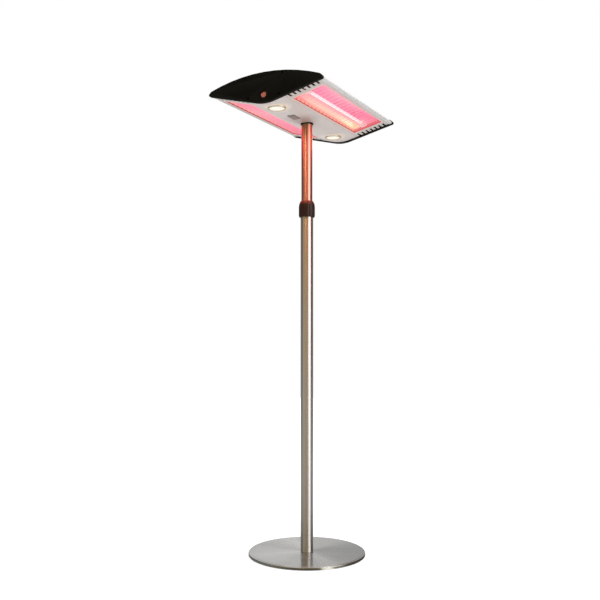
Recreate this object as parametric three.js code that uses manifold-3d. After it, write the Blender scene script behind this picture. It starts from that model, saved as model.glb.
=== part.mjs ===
// Free-standing electric patio heater.
//
// A weighted disc base carries a telescopic pole with a twist-lock clamp. The
// winged head on top has two outward-facing quartz elements behind wire guards,
// two round lamps, a remote receiver window and a lit rocker switch.
//
// Millimetres, +Z up. The origin is on the floor, under the pole's axis.
// +X runs across the wings and +Y runs along the heating tubes. The switch end
// of the head faces -Y.

import * as THREE from 'three';
import { mergeVertices } from 'three/addons/utils/BufferGeometryUtils.js';
import Module from 'manifold-3d';

const wasm = await Module();
wasm.setup();

// ---------------------------------------------------------------- dimensions

const fit = 0.3; // gap between faces that seat on each other

// Base
const baseDiameter = 440;
const baseTop = 12; // top of the cover above the floor
const rimLift = 2; // lower edge of the cover's rim above the floor
const rimRadius = 3; // rounding between top and rim
const baseSheet = 1.2;
const dishStep = 0.8; // height of the pressed step just inside the rim
const dishInset = 9; // width of the lower margin outside that step
const footCount = 5;
const footDiameter = 34;
const footHeight = 3; // underside of the weight above the floor
const footInset = 30; // foot's centre inside the base's edge
const weightGap = 1.2; // weight's edge inside the cover's rim
const weightEdgeDrop = 2.3; // weight's edge below its top
const flangeDiameter = 110;
const flangeThickness = 4;
const flangeScrewCount = 3;
const flangeScrewCircle = 80; // diameter of the screw circle
const flangeScrewDiameter = 6;
const flangeScrewLength = 7;

// Pole
const lowerTubeDiameter = 48;
const upperTubeDiameter = 42;
const tubeWall = 1.5;
const lowerTubeTop = 1308; // height of the lower tube's upper end
const mastOverlap = 608; // length of upper tube inside the lower one at rest
const guideBushLength = 40; // how far the bush reaches up inside the upper tube
const guideCollarHeight = 10; // bush's sliding collar below the upper tube
const guideBushBore = 28;
const guideChamfer = 1.5;
const cableHoleHeight = 60; // lead exit at the back of the pole
const cableHoleDiameter = 16;
const cableDiameter = 8.4;
const grommetLip = 3; // width and height of the grommet's outer lip

// Twist-lock clamp
const clampDiameter = 61;
const clampHeight = 61;
const clampGrip = 34; // how far the clamp reaches down over the lower tube
const clampTaper = 18; // height of the taper at the top
const clampChamfer = 8; // height of the taper at the bottom
const clampMouth = 23.4; // outside radius at the very top
const fluteCount = 8;
const fluteRadius = 5;
const fluteDepth = 2;
const clampEdge = 2; // how far the lower edge is drawn in
const sleeveWall = 1.5;
const sleeveRoof = 4; // sleeve above the lower tube's end
const sleeveInset = 2; // sleeve's lower end inside the nut
const colletHeight = 18;
const colletWall = 1.4; // at the nose
const colletSlit = 3;

// Head outline, in the plane across the wings
const keelHeight = 1624; // lowest line of the head above the floor at rest
const headWidth = 450;
const headLength = 650;
const headDepth = 105; // keel to crown
const tipRise = 10.5; // crown's line above the centre of the wing tip's rounding
const keelRadius = 150;
const wingAngle = 14; // rise of the wings' undersides, degrees
const tipRadius = 6;
const shoulderRadius = 10;

// Casing
const capDepth = 16; // how far an end cap reaches along the head
const capPlate = 4;
const capWall = 2;
const capEdge = 1.5; // rounding of the cap's outer edges
const coverSheet = 1.5;
const panelRecess = 4; // panels above the caps' lower edge
const panelSheet = 1.2;
const seamReach = 74.4; // belly panel's half width, along the wing
const railWidth = 12.9; // wing tip's end to the inner wall of the cover's rail
const railLip = 3; // rail's turned-up edge above the panels
const mastHoleGap = 1.5; // belly panel's hole round the mast
const ventPitch = 18.4;
const ventWidth = 8;
const ventLength = 32;
const ventUnderCap = 3; // length of each vent that the cap covers

// Heating windows
const windowSeamMargin = 11.3; // belly panel's edge to the window
const windowRailMargin = 13.7; // window to the cover's rail
const windowEndMargin = 67; // window to the head's end
const collarHeight = 11; // folded edge round each window
const guardPitch = 29.1; // cross rods of the guard
const guardRod = 2.4;
const guardWire = 1.8;
const guardWireCount = 2;
const guardWeld = 0.2; // how far the wires are pressed into the rods
const guardTail = 2.5; // rod's end beyond the window's folded edge
const rodHoleLength = 5; // holes for the rods in the folded edge
const rodHoleHeight = 4;
const rodHoleLift = 1.4; // hole's lower edge above the panel
const reflectorSheet = 1;
const reflectorDepth = 41; // window plane to the back of the trough
const reflectorInnerSlope = 7; // how far the inner wall leans out over the trough's depth
const reflectorOuterSlope = 45.6; // how far the outer wall leans in
const reflectorBrim = 4;
const reflectorCorner = 8; // inside radius of the trough's bends

// Heating elements
const elementOffset = 47.3; // tube's axis from the window's inner edge
const elementDepth = 17; // tube's axis behind the window plane
const elementEnd = 22; // tube's end to the window's end
const elementDiameter = 11;
const elementWall = 1;
const filamentDiameter = 7;
const filamentTaper = 4; // length of the coil's tapered ends
const leadDiameter = 4;
const holderWidth = 24;
const holderHeight = 18;
const holderLength = 30;
const holderCorner = 3;
const holderGrip = 9; // length of tube inside a holder

// Lamps, receiver and switch
const lampEndMargin = 95; // lamp's centre to the head's end
const lampGlass = 56.4;
const lampTube = 1.2; // wall of the bezel's tube
const lampBezel = 66;
const lampProud = 2; // bezel below the belly panel
const lampBezelDepth = 9; // bezel's tube above the belly panel
const lampBezelEdge = 1.2; // chamfer round the bezel
const lensThickness = 4.2;
const lensDome = 1.4; // how far the lens's middle stands out
const lampHousingHeight = 32;
const lampHousingWall = 2;
const receiverFromLamp = 125; // receiver's centre behind the front lamp's
const receiverWidth = 28;
const receiverLength = 54;
const receiverProud = 1.5;
const receiverLip = 2;
const receiverCorner = 3;
const receiverPlug = 4; // window's plug above the belly panel's underside
const receiverBoardWidth = 22;
const receiverBoardLength = 48;
const sensorSize = [8, 10, 5];
const headerSize = [12, 7, 7];
const headerInset = 5; // header's place from the board's end
const switchHeight = 28; // switch's centre above the keel
const rockerRadius = 10.4;
const rockerGap = 0.4;
const rockerTilt = 10; // rocker's tilt each way, degrees
const rockerRidge = 3.3; // middle of the rocker's face in front of its pivot
const rockerBack = 3.5; // rocker's back behind its pivot
const rockerDepth = 4.8; // rocker's pivot behind the cap's face
const switchBezel = 32;
const switchBezelThickness = 1.9;
const switchFace = 0.3; // ring's face behind the cap's
const switchWall = 1.5;
const switchDepth = 22;

// Inside the head
const chassisSheet = 2;
const chassisFlange = 22; // width of the flange over the panels' seam
const flangeOverBelly = 16.5; // part of that width over the belly panel
const portRadius = 3.5;
const capScrewDiameter = 3.6;
const capScrewHead = 7.4;
const capScrewLength = 18;
const capScrewRecess = 2.2;
const capScrewCrown = 1.6; // height of the screw's head
const capScrewFlat = 4.4; // flat middle of the screw's head
const lowerPortInset = 13.4; // lower cap screws inside the belly panel's edge
const legLean = 13; // upper cap screws further out than the lower ones
const mastEntry = 39.7; // upper tube's end above the belly panel's underside
const trimDiameter = 50;
const trimHeight = 6;
const socketWall = 5;
const socketFlange = 92;
const socketFlangeThickness = 4;
const socketRoof = 4; // closed end above the upper tube
const socketLeadHole = 30;
const socketLift = 3; // socket's mouth above the belly panel
const bracketLength = 120;
const bracketSheet = 3;
const bracketLip = 16; // height of the turned-up sides
const bracketDrop = 7; // bracket's underside below the socket's top
const boardLength = 120;
const boardWidth = 90;
const boardSheet = 1.6;
const boardStandoff = 12;
const boardMargin = 8; // standoffs from the board's edges
const boardGap = 12; // from the bracket to the board
const standoffRadius = 3;
const relayCount = 3;
const relayPitch = 32;
const relaySize = [20, 24, 16];
const heatSinkSize = [12, 70, 20];
const terminalCount = 5;
const terminalSize = [14, 12, 14];

// Facets round a full turn
const wideFacets = 36; // base
const poleFacets = 24; // tubes and the pieces round them
const roundFacets = 20; // lamps, switch and bushes
const smallFacets = 12; // feet, heating tubes and holes
const screwFacets = 8;
const crownSteps = 5; // flats along half of the crown's arc
const keelSteps = 3; // flats along half of the keel's arc
const lensSteps = 2; // flats from a lens's middle to its edge

// ------------------------------------------------------------ derived places

const rad = THREE.MathUtils.degToRad;
const wing = rad(wingAngle);
const lowerTubeRadius = lowerTubeDiameter / 2;
const upperTubeRadius = upperTubeDiameter / 2;
const crownHeight = keelHeight + headDepth;
const lowerPortReach = seamReach - lowerPortInset;
const upperPortReach = lowerPortReach + legLean;
const railReach = headWidth / 2 / Math.cos(wing) - railWidth;
const bellyHeight = keelHeight + panelRecess; // belly panel's underside at the pole
const mastTop = bellyHeight + mastEntry;
const mastBottom = lowerTubeTop - mastOverlap;
const clampBottom = lowerTubeTop - clampGrip;
const clampTop = clampBottom + clampHeight;
const sleeveTop = lowerTubeTop + sleeveRoof;
const coverInset = capWall + fit;
const insideLength = headLength - 2 * (capPlate + fit);
const panelTop = panelRecess + panelSheet;
const collarTop = panelRecess + collarHeight;
const windowInner = seamReach + windowSeamMargin;
const windowOuter = railReach - windowRailMargin;
const windowWidth = windowOuter - windowInner;
const windowCentre = windowInner + windowWidth / 2;
const windowLength = headLength - 2 * windowEndMargin;
const elementLength = windowLength - 2 * elementEnd;
const ventCount = Math.floor(windowWidth / ventPitch) + 1;
const lampOffset = headLength / 2 - lampEndMargin;
const receiverOffset = receiverFromLamp - lampOffset;
const elementReach = windowInner + elementOffset;
const elementLevel = panelRecess + elementDepth;
const flangeTop = baseTop - baseSheet - fit;

// -------------------------------------------------------------- mesh helpers

// A closed mesh as a solid that can be joined and cut.
function solid(geometry) {
  const bare = geometry.index ? geometry.toNonIndexed() : geometry.clone();
  bare.deleteAttribute('normal');
  bare.deleteAttribute('uv');
  const merged = mergeVertices(bare, 1e-4);
  const index = merged.index.array;
  const faces = [];
  for (let i = 0; i < index.length; i += 3) {
    const [a, b, c] = [index[i], index[i + 1], index[i + 2]];
    if (a !== b && b !== c && c !== a) faces.push(a, b, c);
  }
  return new wasm.Manifold(new wasm.Mesh({
    numProp: 3,
    vertProperties: new Float32Array(merged.attributes.position.array),
    triVerts: new Uint32Array(faces),
  }));
}

function geometryOf(body) {
  const mesh = body.getMesh();
  const geometry = new THREE.BufferGeometry();
  geometry.setAttribute('position', new THREE.BufferAttribute(mesh.vertProperties, 3));
  geometry.setIndex(new THREE.BufferAttribute(mesh.triVerts, 1));
  return geometry;
}

function join(...geometries) {
  return geometryOf(geometries.map(solid).reduce((sum, part) => sum.add(part)));
}

function cut(geometry, ...tools) {
  return geometryOf(tools.map(solid).reduce((rest, tool) => rest.subtract(tool), solid(geometry)));
}

function common(geometry, other) {
  return geometryOf(solid(geometry).intersect(solid(other)));
}

// A profile of [radius, height] pairs, counter-clockwise, turned about the Z axis.
function revolve(profile, segments) {
  const points = profile.map(([r, z]) => new THREE.Vector2(r, z));
  if (profile[0][0] > 0) points.push(points[0].clone());
  return new THREE.LatheGeometry(points, segments).rotateX(Math.PI / 2);
}

function ring(inner, outer, bottom, top, segments) {
  return revolve([[inner, bottom], [outer, bottom], [outer, top], [inner, top]], segments);
}

function disc(radius, bottom, top, segments) {
  return revolve([[0, bottom], [radius, bottom], [radius, top], [0, top]], segments);
}

function shapeOf(points) {
  return new THREE.Shape(points.map(([x, y]) => new THREE.Vector2(x, y)));
}

// An outline of [x, z] pairs carried along Y.
function alongY(points, start, end) {
  const options = { depth: end - start, bevelEnabled: false };
  const geometry = new THREE.ExtrudeGeometry(shapeOf(points), options);
  return geometry.rotateX(Math.PI / 2).translate(0, end, 0);
}

// An outline of [x, y] pairs carried up.
function upwards(points, bottom, top) {
  const options = { depth: top - bottom, bevelEnabled: false };
  return new THREE.ExtrudeGeometry(shapeOf(points), options).translate(0, 0, bottom);
}

function box(x0, x1, y0, y1, z0, z1) {
  const geometry = new THREE.BoxGeometry(x1 - x0, y1 - y0, z1 - z0);
  return geometry.translate((x0 + x1) / 2, (y0 + y1) / 2, (z0 + z1) / 2);
}

function arc(cx, cy, radius, from, to, steps) {
  const points = [];
  for (let i = 0; i <= steps; i += 1) {
    const angle = from + ((to - from) * i) / steps;
    points.push([cx + radius * Math.cos(angle), cy + radius * Math.sin(angle)]);
  }
  return points;
}

// The rounded corner of an outline that runs from before, to corner, to after.
function fillet(before, corner, after, radius, steps = 3) {
  const a = new THREE.Vector2(...before).sub(new THREE.Vector2(...corner)).normalize();
  const b = new THREE.Vector2(...after).sub(new THREE.Vector2(...corner)).normalize();
  const half = Math.acos(THREE.MathUtils.clamp(a.dot(b), -1, 1)) / 2;
  const middle = a.clone().add(b).normalize().multiplyScalar(radius / Math.sin(half));
  const centre = new THREE.Vector2(...corner).add(middle);
  const reach = radius / Math.tan(half);
  const start = new THREE.Vector2(...corner).addScaledVector(a, reach).sub(centre);
  const end = new THREE.Vector2(...corner).addScaledVector(b, reach).sub(centre);
  let sweep = end.angle() - start.angle();
  if (sweep > Math.PI) sweep -= 2 * Math.PI;
  if (sweep < -Math.PI) sweep += 2 * Math.PI;
  return arc(centre.x, centre.y, radius, start.angle(), start.angle() + sweep, steps);
}

function roundedRectangle(x0, x1, y0, y1, radius) {
  const corners = [[x0, y0], [x1, y0], [x1, y1], [x0, y1]];
  return corners.flatMap((corner, i) => (
    fillet(corners[(i + 3) % 4], corner, corners[(i + 1) % 4], radius, 2)
  ));
}

const mirrored = (points) => points.map(([x, z]) => [-x, z]).reverse();

// ------------------------------------------------------------- head outline

// Where the line of a wing's underside, raised by n, would cross the centre plane.
const wingLine = (n) => keelHeight + keelRadius - (keelRadius - n) / Math.cos(wing);

// The section point u along the right wing and n above the caps' lower edge.
function wingPoint(u, n) {
  const z = wingLine(0) + u * Math.sin(wing) + n * Math.cos(wing);
  return [u * Math.cos(wing) - n * Math.sin(wing), z];
}

// x + z is constant on the 45 degree bevel above each wing tip.
const tipCentreX = headWidth / 2 - tipRadius;
const tipCentreZ = wingLine(0) + tipCentreX * Math.tan(wing) + tipRadius / Math.cos(wing);
const bevelSum = (inset) => tipCentreX + tipCentreZ + (tipRadius - inset) * Math.SQRT2;

// The crown's arc, from the top of the head down to its line above the wing tip.
const crownDrop = crownHeight - tipCentreZ - tipRise;
const crownRadius = (tipCentreX ** 2 + crownDrop ** 2) / (2 * crownDrop);

// The right half of the outline above the wing tip, from the tip to the crown.
// The casing's shells are all this line, moved inwards by an inset.
function upperHalf(before, inset, under) {
  const sum = bevelSum(inset);
  const tipX = (sum - wingLine(under)) / (1 + Math.tan(wing));
  const tip = [tipX, sum - tipX];
  const centre = crownHeight - crownRadius;
  const radius = crownRadius - inset;
  const drop = sum - centre;
  const shoulderX = (drop - Math.sqrt(2 * radius * radius - drop * drop)) / 2;
  const shoulder = [shoulderX, sum - shoulderX];
  const start = Math.atan2(shoulder[1] - centre, shoulder[0]);
  const crown = arc(0, centre, radius, start, Math.PI / 2, crownSteps);
  return [
    ...fillet(before, tip, shoulder, Math.max(tipRadius - inset, 1), 4),
    ...fillet(tip, shoulder, crown[1], shoulderRadius, 2),
    ...crown.slice(1),
  ];
}

function keelArc(inset) {
  const centre = keelHeight + keelRadius;
  return arc(0, centre, keelRadius - inset, -Math.PI / 2, wing - Math.PI / 2, keelSteps);
}

// A whole closed outline from its right half, which starts and ends on the centre plane.
const whole = (half) => [...half, ...mirrored(half).slice(1, -1)];

// The head's outline with its top and its underside moved inwards.
function headOutline(inset, under) {
  const keel = keelArc(under);
  return whole([...keel, ...upperHalf(keel.at(-1), inset, under)]);
}

// Everything between the panels' undersides, less a gap, and the crown.
const abovePanels = (gap) => alongY(headOutline(0, panelRecess - gap), -headLength, headLength);

// ------------------------------------------------------------------ materials

function finish(color, roughness, metalness) {
  return new THREE.MeshStandardMaterial({ color, roughness, metalness });
}

const steel = finish(0xb9b8b2, 0.3, 1);
const castIron = finish(0x3a3a3a, 0.8, 0.6);
const rubber = finish(0x151515, 0.9, 0);
const blackPlastic = finish(0x15140f, 0.45, 0);
const zinc = finish(0x9a9a98, 0.45, 1);
const paintedPanel = finish(0xd0cdc8, 0.4, 0.2);
const aluminium = finish(0xa4a6a6, 0.4, 1);
const mirrorSheet = finish(0xf0b0a0, 0.2, 1);
const ceramic = finish(0xece8e0, 0.6, 0);
const quartz = finish(0xffe0d0, 0.05, 0);
const hotWire = finish(0xffd0b0, 0.5, 0);
const lampGlassFinish = finish(0xfff6dc, 0.3, 0);
const tintedPlastic = finish(0x4a2630, 0.15, 0);
const board = finish(0x1f5a38, 0.6, 0);
const redLens = finish(0xd8432f, 0.3, 0);

function piece(name, geometry, material) {
  const mesh = new THREE.Mesh(geometry, material);
  mesh.name = name;
  return mesh;
}

function group(...children) {
  const holder = new THREE.Group();
  holder.add(...children);
  return holder;
}

// ------------------------------------------------------------------- stand

// Spun sheet: flat dish, a shallow pressed step near the edge, and a turned-down rim.
function baseCover() {
  const outer = baseDiameter / 2;
  const bore = lowerTubeRadius + fit;
  const step = outer - dishInset;
  const edge = baseTop - dishStep;
  const skin = (inset, steps) => [
    [bore, baseTop - inset],
    [step, baseTop - inset],
    [step + dishStep, edge - inset],
    ...arc(outer - rimRadius, edge - rimRadius, rimRadius - inset, Math.PI / 2, 0, steps),
    [outer - inset, rimLift],
  ];
  const profile = [...skin(baseSheet, 1), ...skin(0, 2).reverse()];
  return piece('base_cover', revolve(profile, wideFacets), steel);
}

function flangeScrewPlaces() {
  const radius = flangeScrewCircle / 2;
  return Array.from({ length: flangeScrewCount }, (_, i) => {
    const angle = (2 * Math.PI * (i + 0.5)) / flangeScrewCount;
    return [radius * Math.cos(angle), radius * Math.sin(angle)];
  });
}

// Countersunk screw, head down. The hole for it is the same shape with a gap.
function flangeScrewShape(gap, top) {
  const shank = flangeScrewDiameter / 2 + gap;
  const head = flangeScrewDiameter + gap;
  const bottom = footHeight + fit - gap;
  return revolve([
    [0, bottom], [head, bottom], [shank, bottom + head - shank], [shank, top], [0, top],
  ], screwFacets);
}

function baseWeight() {
  const outer = baseDiameter / 2 - baseSheet - weightGap;
  const margin = outer - dishInset - rimRadius;
  const lowTop = flangeTop - weightEdgeDrop;
  const recess = flangeDiameter / 2 + fit;
  const seat = flangeTop - flangeThickness - fit;
  const plate = revolve([
    [0, footHeight], [outer, footHeight], [outer, lowTop], [margin, flangeTop],
    [recess, flangeTop], [recess, seat], [0, seat],
  ], roundFacets);
  const holes = flangeScrewPlaces().map(([x, y]) => flangeScrewShape(fit, seat + 1).translate(x, y, 0));
  return piece('base_weight', cut(plate, ...holes), castIron);
}

function feet() {
  const radius = footDiameter / 2;
  const reach = baseDiameter / 2 - footInset;
  const profile = [
    [0, 0], [radius - 1, 0], [radius, footHeight - fit], [0, footHeight - fit],
  ];
  return Array.from({ length: footCount }, (_, i) => {
    const angle = Math.PI / 2 + (2 * Math.PI * i) / footCount;
    const foot = piece(`foot_${i + 1}`, revolve(profile, smallFacets), rubber);
    foot.position.set(reach * Math.cos(angle), reach * Math.sin(angle), 0);
    return foot;
  });
}

function tubeFlange() {
  const bottom = flangeTop - flangeThickness;
  const plate = ring(lowerTubeRadius + fit, flangeDiameter / 2, bottom, flangeTop, roundFacets);
  const hole = flangeScrewDiameter / 2 + fit;
  const holes = flangeScrewPlaces().map(([x, y]) => (
    disc(hole, bottom - 1, flangeTop + 1, screwFacets).translate(x, y, 0)
  ));
  return piece('tube_flange', cut(plate, ...holes), zinc);
}

function flangeScrews() {
  return flangeScrewPlaces().map(([x, y], i) => {
    const shape = flangeScrewShape(0, footHeight + fit + flangeScrewLength);
    const screw = piece(`flange_screw_${i + 1}`, shape, zinc);
    screw.position.set(x, y, 0);
    return screw;
  });
}

function lowerTube() {
  const bottom = flangeTop - flangeThickness;
  const tube = ring(lowerTubeRadius - tubeWall, lowerTubeRadius, bottom, lowerTubeTop, poleFacets);
  const drill = disc(cableHoleDiameter / 2, 0, lowerTubeDiameter, smallFacets);
  drill.rotateX(-Math.PI / 2).translate(0, 0, cableHoleHeight);
  return piece('lower_tube', cut(tube, drill), steel);
}

// Rubber ring in the lead's hole, with a saddle-shaped flange outside the tube.
function cableGrommet() {
  const neck = cableHoleDiameter / 2 - fit;
  const outer = lowerTubeRadius + grommetLip;
  const inner = lowerTubeRadius - tubeWall - grommetLip / 3;
  const lip = disc(neck + grommetLip, inner, outer, smallFacets);
  const pole = disc(lowerTubeRadius + fit, -lowerTubeDiameter, lowerTubeDiameter, poleFacets);
  const saddle = cut(lip.rotateX(-Math.PI / 2), pole);
  const plug = disc(neck, inner, outer, smallFacets).rotateX(-Math.PI / 2);
  const bore = disc(cableDiameter / 2, inner - 1, outer + 1, screwFacets).rotateX(-Math.PI / 2);
  const shape = cut(join(saddle, plug), bore).translate(0, 0, cableHoleHeight);
  return piece('cable_grommet', shape, rubber);
}

// Moulded sleeve on the lower tube's end. The clamp nut screws down over it.
function clampSleeve() {
  const inner = lowerTubeRadius + fit;
  const profile = [
    [inner, clampBottom + sleeveInset],
    [inner + sleeveWall, clampBottom + sleeveInset],
    [inner + sleeveWall, sleeveTop],
    [upperTubeRadius + fit, sleeveTop],
    [upperTubeRadius + fit, lowerTubeTop + fit],
    [inner, lowerTubeTop + fit],
  ];
  return piece('clamp_sleeve', revolve(profile, poleFacets), blackPlastic);
}

const colletFoot = lowerTubeRadius + fit + sleeveWall;
const colletBottom = sleeveTop + fit;
const colletTop = colletBottom + colletHeight;
const colletNose = upperTubeRadius + fit + colletWall;

// Split ring that the nut's cone squeezes onto the upper tube.
function clampCollet() {
  const ringShape = revolve([
    [upperTubeRadius + fit, colletBottom], [colletFoot, colletBottom],
    [colletNose, colletTop], [upperTubeRadius + fit, colletTop],
  ], poleFacets);
  const slit = box(
    -colletSlit / 2, colletSlit / 2, 0, lowerTubeDiameter, colletBottom - 1, colletTop + 1,
  );
  return piece('clamp_collet', cut(ringShape, slit), blackPlastic);
}

// Barrel-shaped nut with flutes for the hand and a cone inside its mouth.
function clampNut() {
  const radius = clampDiameter / 2;
  const waist = clampTop - clampTaper;
  const bore = colletFoot + fit;
  const mouth = upperTubeRadius + 3 * fit;
  const bulge = new THREE.QuadraticBezierCurve(
    new THREE.Vector2(radius, waist - clampTaper / 3),
    new THREE.Vector2(radius - clampEdge / 4, waist + clampTaper / 2),
    new THREE.Vector2(clampMouth, clampTop),
  );
  const barrel = revolve([
    [bore, clampBottom],
    [radius - clampEdge, clampBottom],
    [radius - clampEdge / 3, clampBottom + clampChamfer / 2],
    [radius, clampBottom + clampChamfer],
    ...bulge.getPoints(4).map((point) => [point.x, point.y]),
    [mouth, clampTop],
    [mouth, colletTop + fit],
    [colletNose + fit, colletTop + fit],
    [bore, colletBottom],
  ], poleFacets);
  const flutes = Array.from({ length: fluteCount }, (_, i) => {
    const angle = (2 * Math.PI * i) / fluteCount;
    const reach = radius + fluteRadius - fluteDepth;
    const tool = disc(fluteRadius, clampBottom - 1, clampTop + 1, screwFacets);
    return tool.translate(reach * Math.cos(angle), reach * Math.sin(angle), 0);
  });
  return piece('clamp_nut', cut(barrel, ...flutes), blackPlastic);
}

// ---------------------------------------------------------------------- mast

// Plastic plug in the upper tube's lower end, which slides inside the lower tube.
function guideBush() {
  const bore = guideBushBore / 2;
  const neck = upperTubeRadius - tubeWall - fit;
  const collar = lowerTubeRadius - tubeWall - fit;
  const bottom = mastBottom - guideCollarHeight;
  const top = mastBottom + guideBushLength;
  const profile = [
    [bore, bottom], [collar - guideChamfer, bottom], [collar, bottom + guideChamfer],
    [collar, mastBottom - fit], [neck, mastBottom - fit], [neck, top], [bore, top],
  ];
  return piece('guide_bush', revolve(profile, smallFacets), blackPlastic);
}

function upperTube() {
  const tube = ring(upperTubeRadius - tubeWall, upperTubeRadius, mastBottom, mastTop, poleFacets);
  return piece('upper_tube', tube, steel);
}

// Dark ring where the pole enters the belly panel, shaped to the panel's curve.
function mastTrim() {
  const inner = upperTubeRadius + fit;
  const outer = trimDiameter / 2;
  const bottom = bellyHeight - trimHeight;
  const blank = revolve([
    [inner, bottom], [outer - 1, bottom], [outer, bottom + 1],
    [outer, bellyHeight + trimHeight], [inner, bellyHeight + trimHeight],
  ], roundFacets);
  return piece('mast_trim', cut(blank, abovePanels(fit)), blackPlastic);
}

const socketTop = mastTop + fit + socketRoof;
const bracketBottom = socketTop - bracketDrop;

// Flanged socket over the upper tube's end, bolted up under the bracket.
function mastSocket() {
  const inner = upperTubeRadius + fit;
  const outer = inner + socketWall;
  const bottom = bellyHeight + panelSheet + socketLift;
  const flange = socketFlange / 2;
  const flangeUpper = bracketBottom - fit;
  const flangeLower = flangeUpper - socketFlangeThickness;
  const leadHole = socketLeadHole / 2;
  const profile = [
    [inner, bottom], [outer, bottom], [outer, flangeLower], [flange, flangeLower],
    [flange, flangeUpper], [outer, flangeUpper], [outer, socketTop], [leadHole, socketTop],
    [leadHole, mastTop + fit], [inner, mastTop + fit],
  ];
  return piece('mast_socket', revolve(profile, roundFacets), castIron);
}

// ------------------------------------------------------------------- chassis

// The screw ports run the chassis's full length and take the caps' screws.
const upperPortZ = (() => {
  const radius = crownRadius - coverInset - coverSheet - fit - portRadius;
  return crownHeight - crownRadius + Math.sqrt(radius ** 2 - upperPortReach ** 2);
})();
const flangeLevel = panelTop + fit;
const lowerPortZ = wingLine(flangeLevel + chassisSheet + portRadius) + lowerPortReach * Math.tan(wing);
const ports = [
  [upperPortReach, upperPortZ], [-upperPortReach, upperPortZ],
  [lowerPortReach, lowerPortZ], [-lowerPortReach, lowerPortZ],
];

// Where a leg's middle line is at a height.
function legReach(z) {
  const share = (z - lowerPortZ) / (upperPortZ - lowerPortZ);
  return lowerPortReach + share * (upperPortReach - lowerPortReach);
}

function chassis() {
  const half = insideLength / 2;
  const thick = chassisSheet / 2;
  const flangeInner = seamReach - flangeOverBelly;
  const flangeOuter = flangeInner + chassisFlange;
  const web = [
    [-upperPortReach, upperPortZ - thick], [upperPortReach, upperPortZ - thick],
    [upperPortReach, upperPortZ + thick], [-upperPortReach, upperPortZ + thick],
  ];
  const leg = [
    [lowerPortReach - thick, lowerPortZ], [lowerPortReach + thick, lowerPortZ],
    [upperPortReach + thick, upperPortZ], [upperPortReach - thick, upperPortZ],
  ];
  const flange = [
    wingPoint(flangeInner, flangeLevel), wingPoint(flangeOuter, flangeLevel),
    wingPoint(flangeOuter, flangeLevel + chassisSheet),
    wingPoint(lowerPortReach, flangeLevel + chassisSheet + 1),
    wingPoint(flangeInner, flangeLevel + chassisSheet),
  ];
  const beams = [web, leg, flange, mirrored(leg), mirrored(flange)];
  const circle = (x, z, radius) => arc(x, z, radius, 0, 2 * Math.PI, screwFacets).slice(1);
  const bores = ports.map(([x, z]) => (
    alongY(circle(x, z, capScrewDiameter / 2 + fit), -half - 1, half + 1)
  ));
  const tubes = ports.map(([x, z]) => circle(x, z, portRadius));
  const parts = [...beams, ...tubes].map((outline) => alongY(outline, -half, half));
  return piece('chassis', cut(join(...parts), ...bores), zinc);
}

// Cross plate between the chassis's legs, which the mast socket is bolted to.
function mastBracket() {
  const top = bracketBottom + bracketSheet;
  const lip = top + bracketLip;
  const gap = chassisSheet / 2 + 2 * fit;
  const outerAt = (z) => legReach(z) - gap;
  const half = [
    [0, bracketBottom], [outerAt(bracketBottom), bracketBottom], [outerAt(lip), lip],
    [outerAt(lip) - bracketSheet, lip], [outerAt(top) - bracketSheet, top], [0, top],
  ];
  const plate = alongY(whole(half), -bracketLength / 2, bracketLength / 2);
  const hole = upperTubeRadius + 2 * fit + socketWall;
  const shape = cut(plate, disc(hole, bracketBottom - 1, lip, roundFacets));
  return piece('mast_bracket', shape, zinc);
}

// Control board under the chassis's web, with relays, heat sink and terminals.
function controlBoard() {
  const top = upperPortZ - chassisSheet / 2 - fit;
  const face = top - boardStandoff;
  const back = face - boardSheet;
  const front = bracketLength / 2 + boardGap;
  const side = boardWidth / 2;
  const postX = side - boardMargin;
  const posts = [
    [-postX, front + boardMargin], [postX, front + boardMargin],
    [-postX, front + boardLength - boardMargin], [postX, front + boardLength - boardMargin],
  ].map(([x, y]) => disc(standoffRadius, back, top, screwFacets).translate(x, y, 0));

  // Components hang under the board, side by side from a corner, each a [width, length, height].
  const row = (x, y, count, pitch, [width, length, height]) => (
    Array.from({ length: count }, (_, i) => box(
      x, x + width, y + i * pitch, y + i * pitch + length, back - height, face,
    ))
  );
  const relays = row(boardMargin - side, front + 2 * boardMargin, relayCount, relayPitch, relaySize);
  const sink = row(-heatSinkSize[0] / 2, front + boardMargin, 1, 0, heatSinkSize);
  const [terminalWidth, terminalLength, terminalHeight] = terminalSize;
  const terminalStrip = row(
    side - boardMargin - terminalWidth, front + 3 * boardMargin, 1, 0,
    [terminalWidth, terminalCount * terminalLength, terminalHeight],
  );
  const plate = box(-side, side, front, front + boardLength, back, face);
  return piece('control_board', join(plate, ...posts, ...relays, ...sink, ...terminalStrip), board);
}

// -------------------------------------------------------------------- casing

// Bent sheet over the whole head. Each edge turns in under the wing tip as a rail.
function topCover() {
  const railTop = panelTop + railLip;
  const skin = (inset, reach) => {
    const foot = wingPoint(reach, inset);
    return [wingPoint(reach, railTop), foot, ...upperHalf(foot, inset, inset)];
  };
  const outer = skin(coverInset, railReach);
  const inner = skin(coverInset + coverSheet, railReach + coverSheet);
  const across = (half) => [...half, ...mirrored(half).slice(1)];
  const outline = [...across(outer), ...across(inner).reverse()];
  return piece('top_cover', alongY(outline, -insideLength / 2, insideLength / 2), aluminium);
}

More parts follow.
